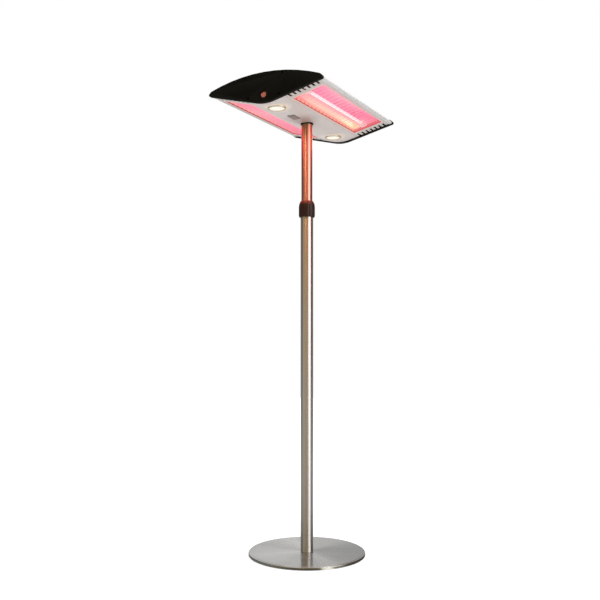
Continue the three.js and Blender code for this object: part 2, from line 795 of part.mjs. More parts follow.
// Curved centre panel under the pole's socket, lamps and receiver.
function bellyPanel() {
  const skin = (inset) => [...keelArc(inset), wingPoint(seamReach, inset)];
  const across = (half) => [...mirrored(half), ...half.slice(1)];
  const outline = [...across(skin(panelRecess)), ...across(skin(panelTop)).reverse()];
  const sheet = alongY(outline, -insideLength / 2, insideLength / 2);
  const low = keelHeight;
  const high = bellyHeight + seamReach * Math.tan(wing);
  const hole = upperTubeRadius + mastHoleGap;
  const lampHole = lampGlass / 2 + fit + lampTube + fit;
  const [rx, ry] = [receiverWidth / 2 - receiverLip + fit, receiverLength / 2 - receiverLip + fit];
  const shape = cut(
    sheet,
    disc(hole, low, high, roundFacets),
    disc(lampHole, low, high, roundFacets).translate(0, -lampOffset, 0),
    disc(lampHole, low, high, roundFacets).translate(0, lampOffset, 0),
    box(-rx, rx, receiverOffset - ry, receiverOffset + ry, low, high),
  );
  return piece('belly_panel', shape, paintedPanel);
}

// Matrix that lays an outline drawn in (along the wing, along the head) onto the right wing.
const onWing = new THREE.Matrix4().makeBasis(
  new THREE.Vector3(Math.cos(wing), 0, Math.sin(wing)),
  new THREE.Vector3(0, 1, 0),
  new THREE.Vector3(-Math.sin(wing), 0, Math.cos(wing)),
).setPosition(0, 0, wingLine(0));

const rodCount = Math.floor(windowLength / guardPitch);
const rodPlaces = Array.from({ length: rodCount }, (_, i) => (i - (rodCount - 1) / 2) * guardPitch);
const rodHoleBottom = panelTop + rodHoleLift;

// Flat wing panel with the window, its folded edge, the rods' holes and the vents.
function wingFrame(name) {
  const halfWindow = windowLength / 2;
  const halfPanel = insideLength / 2;
  const lip = headLength / 2 - capDepth;
  const vents = [];
  for (let i = 0; i < ventCount; i += 1) {
    const u = windowCentre + (i - (ventCount - 1) / 2) * ventPitch;
    for (const side of [-1, 1]) {
      const ends = [side * (lip + ventUnderCap), side * (lip + ventUnderCap - ventLength)];
      const [y0, y1] = ends.sort((a, b) => a - b);
      vents.push(box(u - ventWidth / 2, u + ventWidth / 2, y0, y1, panelRecess - 1, panelTop + 1));
    }
  }
  const panel = box(
    seamReach + 2 * fit, railReach - fit, -halfPanel, halfPanel, panelRecess, panelTop,
  );
  const collar = box(
    windowInner - panelSheet, windowOuter + panelSheet,
    -halfWindow - panelSheet, halfWindow + panelSheet, panelRecess, collarTop,
  );
  const window = box(
    windowInner, windowOuter, -halfWindow, halfWindow, panelRecess - 1, collarTop + 1,
  );
  const rodHoles = rodPlaces.map((y) => box(
    windowInner - 2 * panelSheet, windowOuter + 2 * panelSheet,
    y - rodHoleLength / 2, y + rodHoleLength / 2, rodHoleBottom, rodHoleBottom + rodHoleHeight,
  ));
  const shape = cut(join(panel, collar), window, ...vents, ...rodHoles).applyMatrix4(onWing);
  return piece(name, shape, paintedPanel);
}

// Bent mirror trough with closed ends. Its brim rests on the window's folded edge.
function reflector(name) {
  const low = collarTop + fit;
  const back = panelRecess + reflectorDepth;
  const trough = (grow, foot) => {
    const corners = [
      [windowInner - grow, foot],
      [windowInner + reflectorInnerSlope - grow, back + grow],
      [windowOuter - reflectorOuterSlope + grow / 2, back + grow],
      [windowOuter + grow, foot],
    ];
    const round = (i) => (
      fillet(corners[i - 1], corners[i], corners[i + 1], reflectorCorner + grow, 3)
    );
    return [corners[0], ...round(1), ...round(2), corners[3]].map(([u, n]) => wingPoint(u, n));
  };
  const half = windowLength / 2;
  const end = half + reflectorSheet;
  const shell = alongY(trough(reflectorSheet, low), -end, end);
  const room = alongY(trough(0, low - 1), -half, half);
  const brim = box(
    windowInner - reflectorBrim, windowOuter + reflectorBrim,
    -half - reflectorBrim, half + reflectorBrim, low, low + reflectorSheet,
  ).applyMatrix4(onWing);
  const [ex, ez] = wingPoint(elementReach, elementLevel);
  const leadHole = disc(leadDiameter / 2 + fit, -headLength, headLength, screwFacets);
  leadHole.rotateX(-Math.PI / 2).translate(ex, 0, ez);
  return piece(name, cut(join(shell, brim), room, leadHole), mirrorSheet);
}

// A straight four-sided wire with flats above and below, on the X axis.
function wire(length, thickness) {
  return new THREE.BoxGeometry(length, thickness, thickness);
}

// Welded guard: rods across the window, held in the folded edge's holes, and wires along it.
function guard(name) {
  const rodLength = windowWidth + 2 * (panelSheet + guardTail);
  const rodLevel = rodHoleBottom + fit + guardRod / 2;
  const wireLevel = rodLevel - (guardRod + guardWire) / 2 + guardWeld;
  const rods = rodPlaces.map((y) => wire(rodLength, guardRod).translate(windowCentre, y, rodLevel));
  const wires = Array.from({ length: guardWireCount }, (_, i) => {
    const u = windowInner + (windowWidth * (i + 1)) / (guardWireCount + 1);
    const length = windowLength - 2 * fit;
    return wire(length, guardWire).rotateZ(Math.PI / 2).translate(u, 0, wireLevel);
  });
  return piece(name, join(...rods, ...wires).applyMatrix4(onWing), zinc);
}

// Round shape about the heating tube's axis, from a profile along that axis.
function aboutElement(geometry) {
  const [x, z] = wingPoint(elementReach, elementLevel);
  return geometry.rotateX(-Math.PI / 2).translate(x, 0, z);
}

function heatingElement(side) {
  const half = elementLength / 2;
  const bore = elementDiameter / 2 - elementWall;
  const end = windowLength / 2;
  const coilEnd = half - holderGrip;
  const tube = ring(bore, elementDiameter / 2, -half, half, smallFacets);
  const filament = revolve([
    [0, -end], [leadDiameter / 2, -end], [leadDiameter / 2, -coilEnd - filamentTaper],
    [filamentDiameter / 2, -coilEnd], [filamentDiameter / 2, coilEnd],
    [leadDiameter / 2, coilEnd + filamentTaper], [leadDiameter / 2, end], [0, end],
  ], screwFacets);
  const pieces = [
    piece(`quartz_tube_${side}`, aboutElement(tube), quartz),
    piece(`filament_${side}`, aboutElement(filament), hotWire),
  ];
  for (const [place, direction] of [['front', -1], ['rear', 1]]) {
    const face = direction * (end - fit);
    const mouth = direction * (end - fit - holderLength);
    const [y0, y1] = [face, mouth].sort((a, b) => a - b);
    const outline = roundedRectangle(
      elementReach - holderWidth / 2, elementReach + holderWidth / 2,
      elementLevel - holderHeight / 2, elementLevel + holderHeight / 2, holderCorner,
    );
    const block = alongY(outline.map(([u, n]) => wingPoint(u, n)), y0, y1);
    const seat = disc(elementDiameter / 2 + fit, 0, half + fit, smallFacets);
    const lead = disc(leadDiameter / 2 + fit, 0, end + 1, screwFacets);
    const turn = direction > 0 ? -Math.PI / 2 : Math.PI / 2;
    const [x, z] = wingPoint(elementReach, elementLevel);
    const drills = [seat, lead].map((tool) => tool.rotateX(turn).translate(x, 0, z));
    pieces.push(piece(`tube_holder_${side}_${place}`, cut(block, ...drills), ceramic));
  }
  return pieces;
}

// Everything on one wing. The left wing is the right one turned round the pole.
function wingAssembly(side) {
  const parts = group(
    wingFrame(`wing_frame_${side}`), reflector(`reflector_${side}`), guard(`guard_${side}`),
    ...heatingElement(side),
  );
  if (side === 'left') parts.rotation.z = Math.PI;
  return parts;
}

// --------------------------------------------------------- lamps and receiver

function lamp(place, y) {
  const lens = lampGlass / 2;
  const inner = lens + fit;
  const tube = inner + lampTube;
  const low = bellyHeight - lampProud;
  const top = bellyHeight + lampBezelDepth;
  const rim = lampBezel / 2;
  const flange = cut(
    revolve([
      [inner, low], [rim - lampBezelEdge, low], [rim, low + lampBezelEdge], [rim, top],
      [inner, top],
    ], roundFacets),
    abovePanels(fit),
  );
  const neck = ring(inner, tube, bellyHeight, top, roundFacets);
  const bezel = piece(`lamp_bezel_${place}`, join(flange, neck), aluminium);
  const lensBack = low + lensThickness;
  const dome = Array.from({ length: lensSteps + 1 }, (_, i) => {
    const share = i / lensSteps;
    return [lens * share, low + lensDome * share ** 2];
  });
  const lensShape = revolve([...dome, [lens, lensBack], [0, lensBack]], roundFacets);
  const glass = piece(`lamp_lens_${place}`, lensShape, lampGlassFinish);
  const can = tube + fit;
  const canOuter = can + lampHousingWall;
  const roof = bellyHeight + lampHousingHeight;
  const ceiling = roof - lampHousingWall;
  const cup = revolve([
    [0, ceiling], [can, ceiling], [can, low], [canOuter, low], [canOuter, ceiling], [can, roof],
    [0, roof],
  ], roundFacets);
  const floor = alongY(headOutline(0, panelTop + fit), -headLength, headLength);
  const housing = piece(`lamp_housing_${place}`, common(cup, floor), aluminium);
  const parts = [bezel, glass, housing];
  for (const part of parts) part.position.y = y;
  return parts;
}

function receiverWindow() {
  const [x, y] = [receiverWidth / 2, receiverLength / 2];
  const low = bellyHeight - receiverProud;
  const plate = cut(
    upwards(roundedRectangle(-x, x, -y, y, receiverCorner), low, bellyHeight + 2 * receiverPlug),
    abovePanels(fit),
  );
  const [px, py] = [x - receiverLip, y - receiverLip];
  const plug = box(-px, px, -py, py, bellyHeight - receiverProud / 2, bellyHeight + receiverPlug);
  const window = piece('receiver_window', join(plate, plug), tintedPlastic);
  window.position.y = receiverOffset;
  return window;
}

function receiverBoard() {
  const level = bellyHeight + receiverPlug + fit;
  const [x, y] = [receiverBoardWidth / 2, receiverBoardLength / 2];
  const plate = box(-x, x, -y, y, level, level + boardSheet);
  const part = ([width, length, height], middle) => box(
    -width / 2, width / 2, middle - length / 2, middle + length / 2, level, level + boardSheet + height,
  );
  const sensor = part(sensorSize, 0);
  const header = part(headerSize, y - headerInset - headerSize[1] / 2);
  const shape = piece('receiver_board', join(plate, sensor, header), board);
  shape.position.y = receiverOffset;
  return shape;
}

// ------------------------------------------------------------------ end caps

// The room inside a cap: wide enough for the cover, and a shelf under the panels.
function capPocket() {
  const shelf = panelRecess - fit;
  const step = railReach - fit;
  const foot = wingPoint(step, capWall);
  const half = [
    ...keelArc(shelf), wingPoint(step, shelf), foot, ...upperHalf(foot, capWall, capWall),
  ];
  return whole(half);
}

const switchZ = keelHeight + switchHeight;
const capFace = -headLength / 2;

// Moulded cap with a rounded rim, screw recesses and, at the front, the switch's seat.
function endCap(name, hasSwitch) {
  const options = {
    depth: capDepth - 2 * capEdge,
    bevelThickness: capEdge,
    bevelSize: capEdge,
    bevelOffset: -capEdge,
    bevelSegments: 1,
  };
  const blank = new THREE.ExtrudeGeometry(shapeOf(headOutline(0, 0)), options);
  blank.rotateX(Math.PI / 2).translate(0, capFace + capDepth - capEdge, 0);
  const tools = [alongY(capPocket(), capFace + capPlate, capFace + capDepth + 1)];
  for (const [x, z] of ports) {
    const shank = disc(capScrewDiameter / 2 + fit, -1, capPlate + 1, screwFacets);
    const recess = disc(capScrewHead / 2 + 2 * fit, -1, capScrewRecess, screwFacets);
    for (const tool of [shank, recess]) {
      tools.push(tool.rotateX(-Math.PI / 2).translate(x, capFace, z));
    }
  }
  if (hasSwitch) {
    const seatDepth = switchFace + switchBezelThickness + fit;
    const seat = disc(switchBezel / 2 + fit, -1, seatDepth, roundFacets);
    const hole = disc(rockerRadius + rockerGap + switchWall + fit, -1, capPlate + 1, roundFacets);
    for (const tool of [seat, hole]) {
      tools.push(tool.rotateX(-Math.PI / 2).translate(0, capFace, switchZ));
    }
  }
  return piece(name, cut(blank, ...tools), blackPlastic);
}

function capScrews(place) {
  const head = capScrewHead / 2;
  const shank = capScrewDiameter / 2;
  const seat = capScrewRecess - fit;
  const corners = ['upper_right', 'upper_left', 'lower_right', 'lower_left'];
  return ports.map(([x, z], i) => {
    const crown = seat - capScrewCrown;
    const shape = revolve([
      [0, crown], [capScrewFlat / 2, crown], [head, seat], [shank, seat], [shank, capScrewLength],
      [0, capScrewLength],
    ], screwFacets);
    const screw = piece(`cap_screw_${place}_${corners[i]}`, shape, zinc);
    screw.rotation.x = -Math.PI / 2;
    screw.position.set(x, capFace, z);
    return screw;
  });
}

function capAssembly(place) {
  const parts = group(endCap(`end_cap_${place}`, place === 'front'), ...capScrews(place));
  if (place === 'rear') parts.rotation.z = Math.PI;
  return parts;
}

// -------------------------------------------------------------------- switch

// Ring and barrel of the switch, clipped into the front cap.
function switchBody() {
  const bore = rockerRadius + rockerGap;
  const barrel = bore + switchWall;
  const rim = switchBezel / 2;
  const seat = switchFace + switchBezelThickness;
  const edge = switchBezelThickness / 2;
  const back = switchDepth - switchWall;
  const shape = revolve([
    [0, back], [bore, back], [bore, switchFace + edge], [bore + edge, switchFace],
    [rim - edge, switchFace], [rim, switchFace + edge], [rim, seat], [barrel, seat],
    [barrel, switchDepth], [0, switchDepth],
  ], roundFacets);
  shape.rotateX(-Math.PI / 2).translate(0, capFace, switchZ);
  return piece('switch_body', shape, blackPlastic);
}

// Rocker cut from a ball, so that it turns in its round hole. Its face has two flats.
function switchRocker() {
  const reach = 2 * rockerRadius;
  const slope = Math.tan(rad(rockerTilt)) * reach;
  const outline = [
    [slope - rockerRidge, reach], [rockerBack, reach], [rockerBack, -reach],
    [slope - rockerRidge, -reach], [-rockerRidge, 0],
  ];
  const wedge = upwards(outline, -reach, reach);
  wedge.applyMatrix4(new THREE.Matrix4().makeBasis(
    new THREE.Vector3(0, 1, 0), new THREE.Vector3(0, 0, 1), new THREE.Vector3(1, 0, 0),
  ));
  const ball = new THREE.SphereGeometry(rockerRadius, roundFacets, smallFacets);
  const rocker = piece('switch_rocker', common(ball, wedge), redLens);
  rocker.rotation.x = -rad(rockerTilt);
  rocker.position.set(0, capFace + rockerDepth, switchZ);
  return rocker;
}

// ------------------------------------------------------------------ assembly

const stand = group(
  baseCover(), baseWeight(), ...feet(), tubeFlange(), ...flangeScrews(),
  lowerTube(), cableGrommet(), clampSleeve(), clampCollet(),
);

const head = group(
  upperTube(), mastTrim(), mastSocket(), mastBracket(), chassis(), controlBoard(),
  topCover(), bellyPanel(), wingAssembly('right'), wingAssembly('left'),
  ...lamp('front', -lampOffset), ...lamp('rear', lampOffset),
  receiverWindow(), receiverBoard(), capAssembly('front'), capAssembly('rear'),
  switchBody(), switchRocker(),
);

export default group(stand, clampNut(), guideBush(), head);
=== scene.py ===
# %% [markdown]
# # A free-standing electric patio heater
#
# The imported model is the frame: every CAD piece arrives at its real size, in metres,
# with +Z up and the origin on the floor under the pole. This script gives each piece
# its finish, models the few pieces that need finer shapes than the CAD solids have,
# and sets up a plain studio round them.

# %% Load the frame
import math

import bmesh
import bpy
from mathutils import Matrix, Vector


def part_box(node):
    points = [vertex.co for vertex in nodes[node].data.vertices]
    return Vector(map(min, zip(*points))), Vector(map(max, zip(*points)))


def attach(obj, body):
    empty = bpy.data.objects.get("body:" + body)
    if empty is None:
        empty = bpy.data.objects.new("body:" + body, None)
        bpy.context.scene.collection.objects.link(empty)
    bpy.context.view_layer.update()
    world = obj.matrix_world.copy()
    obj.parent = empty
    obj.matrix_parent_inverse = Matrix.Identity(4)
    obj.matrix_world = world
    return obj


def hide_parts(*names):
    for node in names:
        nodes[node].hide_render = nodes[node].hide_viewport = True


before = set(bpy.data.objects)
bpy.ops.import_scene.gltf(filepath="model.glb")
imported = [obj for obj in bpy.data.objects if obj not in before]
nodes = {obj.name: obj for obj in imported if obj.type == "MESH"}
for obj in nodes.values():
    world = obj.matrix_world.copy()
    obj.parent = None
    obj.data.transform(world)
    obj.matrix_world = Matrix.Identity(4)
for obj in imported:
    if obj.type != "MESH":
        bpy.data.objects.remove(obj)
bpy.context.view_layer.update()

# %% [markdown]
# ## The camera
#
# Something this tall is best shown with a level camera, so that the pole stays
# upright, and with the lens shifted instead of tilted. The camera stands a little
# under half the heater's height and looks at the switch end of the head from its
# right. It could be aimed with a tracking constraint, but a level camera with a
# plain heading is simpler to read and gives the same view.

# %% Camera
camera_distance = 2.9905
camera_bearing = math.radians(27.383)  # round from -Y towards +X
camera_height = 0.8156
camera_pan = math.radians(0.499)  # aimed a little to the left of the pole

camera_data = bpy.data.cameras.new("studio_camera")
camera_data.lens = 47.385
camera_data.sensor_width = 36.0
camera_data.shift_y = 0.0643
camera = bpy.data.objects.new("studio_camera", camera_data)
bpy.context.scene.collection.objects.link(camera)
camera.location = (
    camera_distance * math.sin(camera_bearing),
    -camera_distance * math.cos(camera_bearing),
    camera_height,
)
camera.rotation_euler = (math.pi / 2, 0.0, camera_bearing + camera_pan)
bpy.context.scene.camera = camera
print("camera at", [round(v, 3) for v in camera.location])

# %% [markdown]
# ## Helpers for node trees
#
# Every finish below is a node tree. A few short helpers keep them readable: they add
# a node and set its values, join sockets, and do sums on sockets, so that a formula
# reads as a formula and not as a list of nodes and links.

# %% Node helpers
def add(tree, kind, values=None, **settings):
    """Adds a node, sets its properties, and sets its input values by name or number."""
    node = tree.nodes.new(kind)
    for key, value in settings.items():
        setattr(node, key, value)
    for key, value in (values or {}).items():
        node.inputs[key].default_value = value
    return node


def join(tree, source, target):
    tree.links.new(source, target)


def put(tree, value, target):
    """Joins another node's socket to this one, or sets a plain number on it."""
    if isinstance(value, (int, float)):
        target.default_value = value
    else:
        join(tree, value, target)


def feed(tree, node, **sockets):
    """Joins sockets to a node's inputs. An underscore in a name stands for a space."""
    for key, source in sockets.items():
        join(tree, source, node.inputs[key.replace("_", " ")])


print("node helpers ready")

# %% Sums on sockets
def calculate(tree, operation, a, b=None, clamp=False):
    """One sum on sockets or plain numbers."""
    node = add(tree, "ShaderNodeMath", operation=operation, use_clamp=clamp)
    put(tree, a, node.inputs[0])
    if b is not None:
        put(tree, b, node.inputs[1])
    return node.outputs[0]


def graded(tree, value, start, end, low=0.0, high=1.0, curve="LINEAR"):
    """Goes from low to high while a value goes from start to end, and no further."""
    node = add(tree, "ShaderNodeMapRange", interpolation_type=curve)
    limits = (("From Min", start), ("From Max", end), ("To Min", low), ("To Max", high))
    for name, limit in limits:
        put(tree, limit, node.inputs[name])
    join(tree, value, node.inputs["Value"])
    return node.outputs["Result"]


def below(tree, value, limit):
    """A mask: 1 where a value is under a limit."""
    return calculate(tree, "LESS_THAN", value, limit)


def reach(tree, a, b):
    """The distance of a place from an axis, from its two offsets."""
    squares = [calculate(tree, "MULTIPLY", offset, offset) for offset in (a, b)]
    return calculate(tree, "SQRT", calculate(tree, "ADD", *squares))


def product(tree, first, *others):
    """Several values multiplied, such as masks that must all hold."""
    for other in others:
        first = calculate(tree, "MULTIPLY", first, other)
    return first


print("sums ready")

# %% Places on the object
def object_place(tree):
    """The socket of the object coordinates, which are the frame's own metres."""
    return add(tree, "ShaderNodeTexCoord").outputs["Object"]


def object_axes(tree):
    """The x, y and z of the object coordinates, as three sockets."""
    split = add(tree, "ShaderNodeSeparateXYZ")
    join(tree, object_place(tree), split.inputs[0])
    return split.outputs


def stretched(tree, scale):
    """Object coordinates, stretched by a scale for each axis."""
    squeeze = add(tree, "ShaderNodeVectorMath", {1: scale}, operation="MULTIPLY")
    join(tree, object_place(tree), squeeze.inputs[0])
    return squeeze.outputs[0]


print("places ready")

# %% [markdown]
# ## Shared effects
#
# Several finishes show the same kind of surface: lines left by brushing, the fine
# grain of a moulded or sprayed skin, edges rubbed bright or pale, and the film of
# dust and finger marks that any used thing carries. Each is one node group, built
# once and placed in each material with that material's own values. They put out only
# masks, tones and heights, so the shader itself stays in the material.

# %% Group helpers
def new_group(name, inputs, outputs):
    """An empty node group. Each input has a default, and None makes it a vector."""
    tree = bpy.data.node_groups.new(name, "ShaderNodeTree")
    for socket, default in inputs.items():
        kind = "NodeSocketVector" if default is None else "NodeSocketFloat"
        made = tree.interface.new_socket(socket, in_out="INPUT", socket_type=kind)
        if default is not None:
            made.default_value = default
    for socket in outputs:
        tree.interface.new_socket(socket, in_out="OUTPUT", socket_type="NodeSocketFloat")
    return tree, add(tree, "NodeGroupInput").outputs, add(tree, "NodeGroupOutput")


def effect(tree, group, **values):
    """Places a shared effect in a material. An underscore in a name stands for a space."""
    node = add(tree, "ShaderNodeGroup", node_tree=group)
    for key, value in values.items():
        node.inputs[key.replace("_", " ")].default_value = value
    return node


print("group helpers ready")

# %% Brushed lines
def build_brushed_lines():
    """Fine parallel lines: noise on a place that is stretched along the brushing."""
    tree, given, out = new_group(
        "brushed_lines", {"Vector": None, "Fineness": 1.0, "Strength": 0.5}, ["Tone", "Height"],
    )
    fine = add(tree, "ShaderNodeTexNoise", {"Detail": 3.0, "Roughness": 0.7})
    broad = add(tree, "ShaderNodeTexNoise", {"Detail": 2.0, "Roughness": 0.5})
    broad_scale = calculate(tree, "MULTIPLY", given["Fineness"], 0.18)
    feed(tree, fine, Vector=given["Vector"], Scale=given["Fineness"])
    feed(tree, broad, Vector=given["Vector"], Scale=broad_scale)
    both = calculate(tree, "ADD", fine.outputs["Fac"], broad.outputs["Fac"])
    centred = calculate(tree, "SUBTRACT", both, 1.0)
    strong = calculate(tree, "MULTIPLY", centred, given["Strength"])
    feed(tree, out, Tone=calculate(tree, "ADD", strong, 0.5, clamp=True), Height=both)
    return tree


brushed_lines = build_brushed_lines()
print("effect:", brushed_lines.name)

# %% Moulded grain
def build_moulded_grain():
    """The fine pebbled skin that a mould or a spray gun leaves."""
    tree, given, out = new_group(
        "moulded_grain", {"Scale": 900.0, "Softness": 0.5}, ["Tone", "Height"],
    )
    pebbles = add(tree, "ShaderNodeTexVoronoi", feature="SMOOTH_F1")
    noise = add(tree, "ShaderNodeTexNoise", {"Detail": 4.0})
    place = object_place(tree)
    for texture in (pebbles, noise):
        feed(tree, texture, Vector=place, Scale=given["Scale"])
    mix = add(tree, "ShaderNodeMix", data_type="FLOAT")
    feed(
        tree, mix, Factor=given["Softness"], A=pebbles.outputs["Distance"],
        B=noise.outputs["Fac"],
    )
    feed(tree, out, Tone=noise.outputs["Fac"], Height=mix.outputs["Result"])
    return tree


moulded_grain = build_moulded_grain()
print("effect:", moulded_grain.name)

# %% Edge wear
def build_edge_wear():
    """A mask that is bright on outward edges, broken up so that wear looks uneven."""
    tree, given, out = new_group(
        "edge_wear", {"Threshold": 0.53, "Sharpness": 12.0, "Patchiness": 60.0}, ["Mask"],
    )
    edge = add(tree, "ShaderNodeNewGeometry").outputs["Pointiness"]
    lift = calculate(tree, "SUBTRACT", edge, given["Threshold"])
    sharp = calculate(tree, "MULTIPLY", lift, given["Sharpness"], clamp=True)
    patches = add(tree, "ShaderNodeTexNoise", {"Detail": 5.0, "Roughness": 0.65})
    feed(tree, patches, Vector=object_place(tree), Scale=given["Patchiness"])
    broken = calculate(tree, "MULTIPLY", sharp, patches.outputs["Fac"], clamp=True)
    feed(tree, out, Mask=broken)
    return tree


edge_wear = build_edge_wear()
print("effect:", edge_wear.name)

# %% Dust and marks
def build_dust_and_marks():
    """Soft cloudy patches, for thin dust in places and wiped areas between them."""
    tree, given, out = new_group("dust_and_marks", {"Scale": 14.0, "Cover": 0.5}, ["Mask"])
    clouds = add(tree, "ShaderNodeTexNoise", {"Detail": 8.0, "Roughness": 0.6, "Distortion": 0.6})
    feed(tree, clouds, Vector=object_place(tree), Scale=given["Scale"])
    feed(tree, out, Mask=graded(tree, clouds.outputs["Fac"], 0.4, 0.75, high=given["Cover"]))
    return tree


dust_and_marks = build_dust_and_marks()
print("effect:", dust_and_marks.name)

# %% Painted glow and shade near the head
# Places painted glow and painted shade by height: on the pole near the head and on the grip's
# crown.
def build_painted_light_rise():
    """A mask that rises from nothing at one height to full at another, both in metres."""
    tree, given, out = new_group("warmth", {"Low": 0.9, "High": 1.4, "Full": 1.0}, ["Mask"])
    height = object_axes(tree)[2]
    rise = graded(
        tree, height, given["Low"], given["High"], high=given["Full"], curve="SMOOTHSTEP",
    )
    feed(tree, out, Mask=rise)
    return tree


warmth = build_painted_light_rise()
print("effect:", warmth.name)

# %% [markdown]
# ## Building a finish
#
# A finish starts from one Principled shader. The next helpers add what most finishes
# need: a colour that drifts between two tones, a colour that runs through several, a
# value that drifts with a mask, and a bump from a height.

# %% Finish helpers
def finish(name, **plain):
    """A new material, its tree and its Principled shader, with plain values set."""
    made = bpy.data.materials.new(name)
    made.use_nodes = True
    tree = made.node_tree
    shader = tree.nodes["Principled BSDF"]
    for key, value in plain.items():
        shader.inputs[key.replace("_", " ")].default_value = value
    return made, tree, shader


def mix_colours(tree, share, low, high, **settings):
    """Two colours mixed by a share, which is a socket or a number."""
    mix = add(tree, "ShaderNodeMix", data_type="RGBA", **settings)
    targets = [s for s in mix.inputs if s.type == "RGBA"]
    for target, value in zip(targets, (low, high)):
        if isinstance(value, tuple):
            target.default_value = (*value, 1.0)
        else:
            join(tree, value, target)
    put(tree, share, mix.inputs["Factor"])
    return next(s for s in mix.outputs if s.type == "RGBA")


def tint(tree, mask, low, high):
    """A colour between two tones. Chained, it lays one tone over another."""
    return mix_colours(tree, mask, low, high)


def ramp(tree, source, stops):
    """A colour that runs through (position, colour) stops."""
    node = add(tree, "ShaderNodeValToRGB")
    elements = node.color_ramp.elements
    while len(elements) < len(stops):
        elements.new(0.5)
    for element, (position, colour) in zip(elements, stops):
        element.position = position
        element.color = (*colour, 1.0)
    join(tree, source, node.inputs["Fac"])
    return node.outputs["Color"]


def grey(value):
    return (value, value, value)


def between(tree, mask, low, high):
    """A value that runs from low to high with the mask."""
    return graded(tree, mask, 0.0, 1.0, low, high)


def bump(tree, shader, height, depth, strength=1.0):
    """Relief of a real depth, in metres."""
    node = add(tree, "ShaderNodeBump", {"Strength": strength, "Distance": depth})
    feed(tree, node, Height=height)
    feed(tree, shader, Normal=node.outputs["Normal"])


print("finish helpers ready")

# %% [markdown]
# ## Brushed stainless steel: the pole
#
# The tubes are polished with a belt that runs round them, which leaves fine rings.
# Light that hits such rings spreads up and down the pole but stays narrow across it,
# so the pole shows long straight streaks. A plain rough metal would blur both ways.
# The shader's anisotropy does it, with a tangent that runs round the pole's axis and
# a quarter turn, so that the long way of the blur is upright. Close to the head the
# steel's colour is painted warm, a painted reflection of the windows' glow, strongest
# on the upper tube, and right under the head it is painted darker, a painted
# reflection of the brown underside there.

# %% Pole steel
keel_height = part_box("end_cap_front")[0].z  # the lowest line of the head
# painted shade right under the head: the pole is painted darker there, a painted reflection of
# the dark underside
shade_low = keel_height - 0.079
shade_high = keel_height - 0.014


def round_the_pole(tree, shader):
    """Lays the shader's blur along circles about the pole's axis."""
    tangent = add(tree, "ShaderNodeTangent", direction_type="RADIAL", axis="Z")
    feed(tree, shader, Tangent=tangent.outputs[0])


def make_pole_steel(name, low, high, full, warm):
    """Brushed tube steel painted warm between two heights, up to a full share, as a painted
    reflection of the windows' glow, with painted shade right under the head.
    """
    made, tree, shader = finish(
        name, Metallic=1.0, Anisotropic=0.95, Anisotropic_Rotation=0.25,
    )
    lines = effect(tree, brushed_lines, Fineness=1.0, Strength=0.3)
    feed(tree, lines, Vector=stretched(tree, (6.0, 6.0, 3600.0)))
    marks = effect(tree, dust_and_marks, Scale=9.0, Cover=0.5).outputs["Mask"]
    # painted glow: a warm colour near the head, a painted reflection of the windows' red light
    heat = effect(tree, warmth, Low=low, High=high, Full=full).outputs["Mask"]
    # painted shade: darker right under the head, a painted reflection of the underside
    shade = effect(tree, warmth, Low=shade_low, High=shade_high, Full=0.75).outputs["Mask"]
    tone = lines.outputs["Tone"]
    steel = tint(tree, tone, (0.50, 0.485, 0.455), (0.72, 0.705, 0.67))
    marked = tint(tree, between(tree, marks, 0.0, 0.18), steel, (0.52, 0.49, 0.44))
    glow_painted = tint(tree, heat, marked, warm)
    rough = calculate(
        tree, "ADD", between(tree, tone, 0.36, 0.42), between(tree, marks, 0.0, 0.06),
    )
    feed(
        tree, shader, Base_Color=tint(tree, shade, glow_painted, (0.30, 0.19, 0.12)),
        Roughness=rough,
    )
    bump(tree, shader, lines.outputs["Height"], 0.000003, 0.3)
    round_the_pole(tree, shader)
    return made


# both tubes carry the painted glow, the upper one in full
pole_steel = make_pole_steel("pole_steel", 0.9, 1.32, 0.3, (0.62, 0.43, 0.30))
mast_steel = make_pole_steel("mast_steel", 0.7, 1.3, 1.0, (0.58, 0.325, 0.26))
print("finishes:", pole_steel.name, mast_steel.name)

# %% [markdown]
# ## Spun steel: the base cover
#
# The cover is brushed while it turns, so its lines are circles about the pole and it
# shows fans of light that meet at the middle. The same line effect serves, fed with
# the distance from the axis instead of the height. The fans are a painted reflection,
# laid out round the turn as shares of the steel's own brightness, and the rolled rim
# has a painted dark reflection.
# A tiled image could be laid on it too, but a formula stays sharp at any size.

# %% Base steel
cover_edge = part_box("base_cover")[1].x
# painted reflection: fans of light and dark round the cover, as shares of its brightness
painted_fan_shares = [  # degrees round from +X, and the share of the steel's brightness
    (-180, 0.78), (-150, 0.84), (-131, 1.03), (-98, 0.98), (-51, 0.76), (-33, 0.86),
    (-12, 0.66), (22, 0.41), (40, 0.38), (56, 0.50), (78, 0.82), (120, 0.85), (141, 1.10),
    (165, 0.93), (180, 0.78),
]


def round_the_turn(tree, turn, stops):
    """A colour for each angle about the pole, from (degrees, colour) stops."""
    share = graded(tree, turn, -math.pi, math.pi)
    return ramp(tree, share, [((degrees + 180) / 360, colour) for degrees, colour in stops])


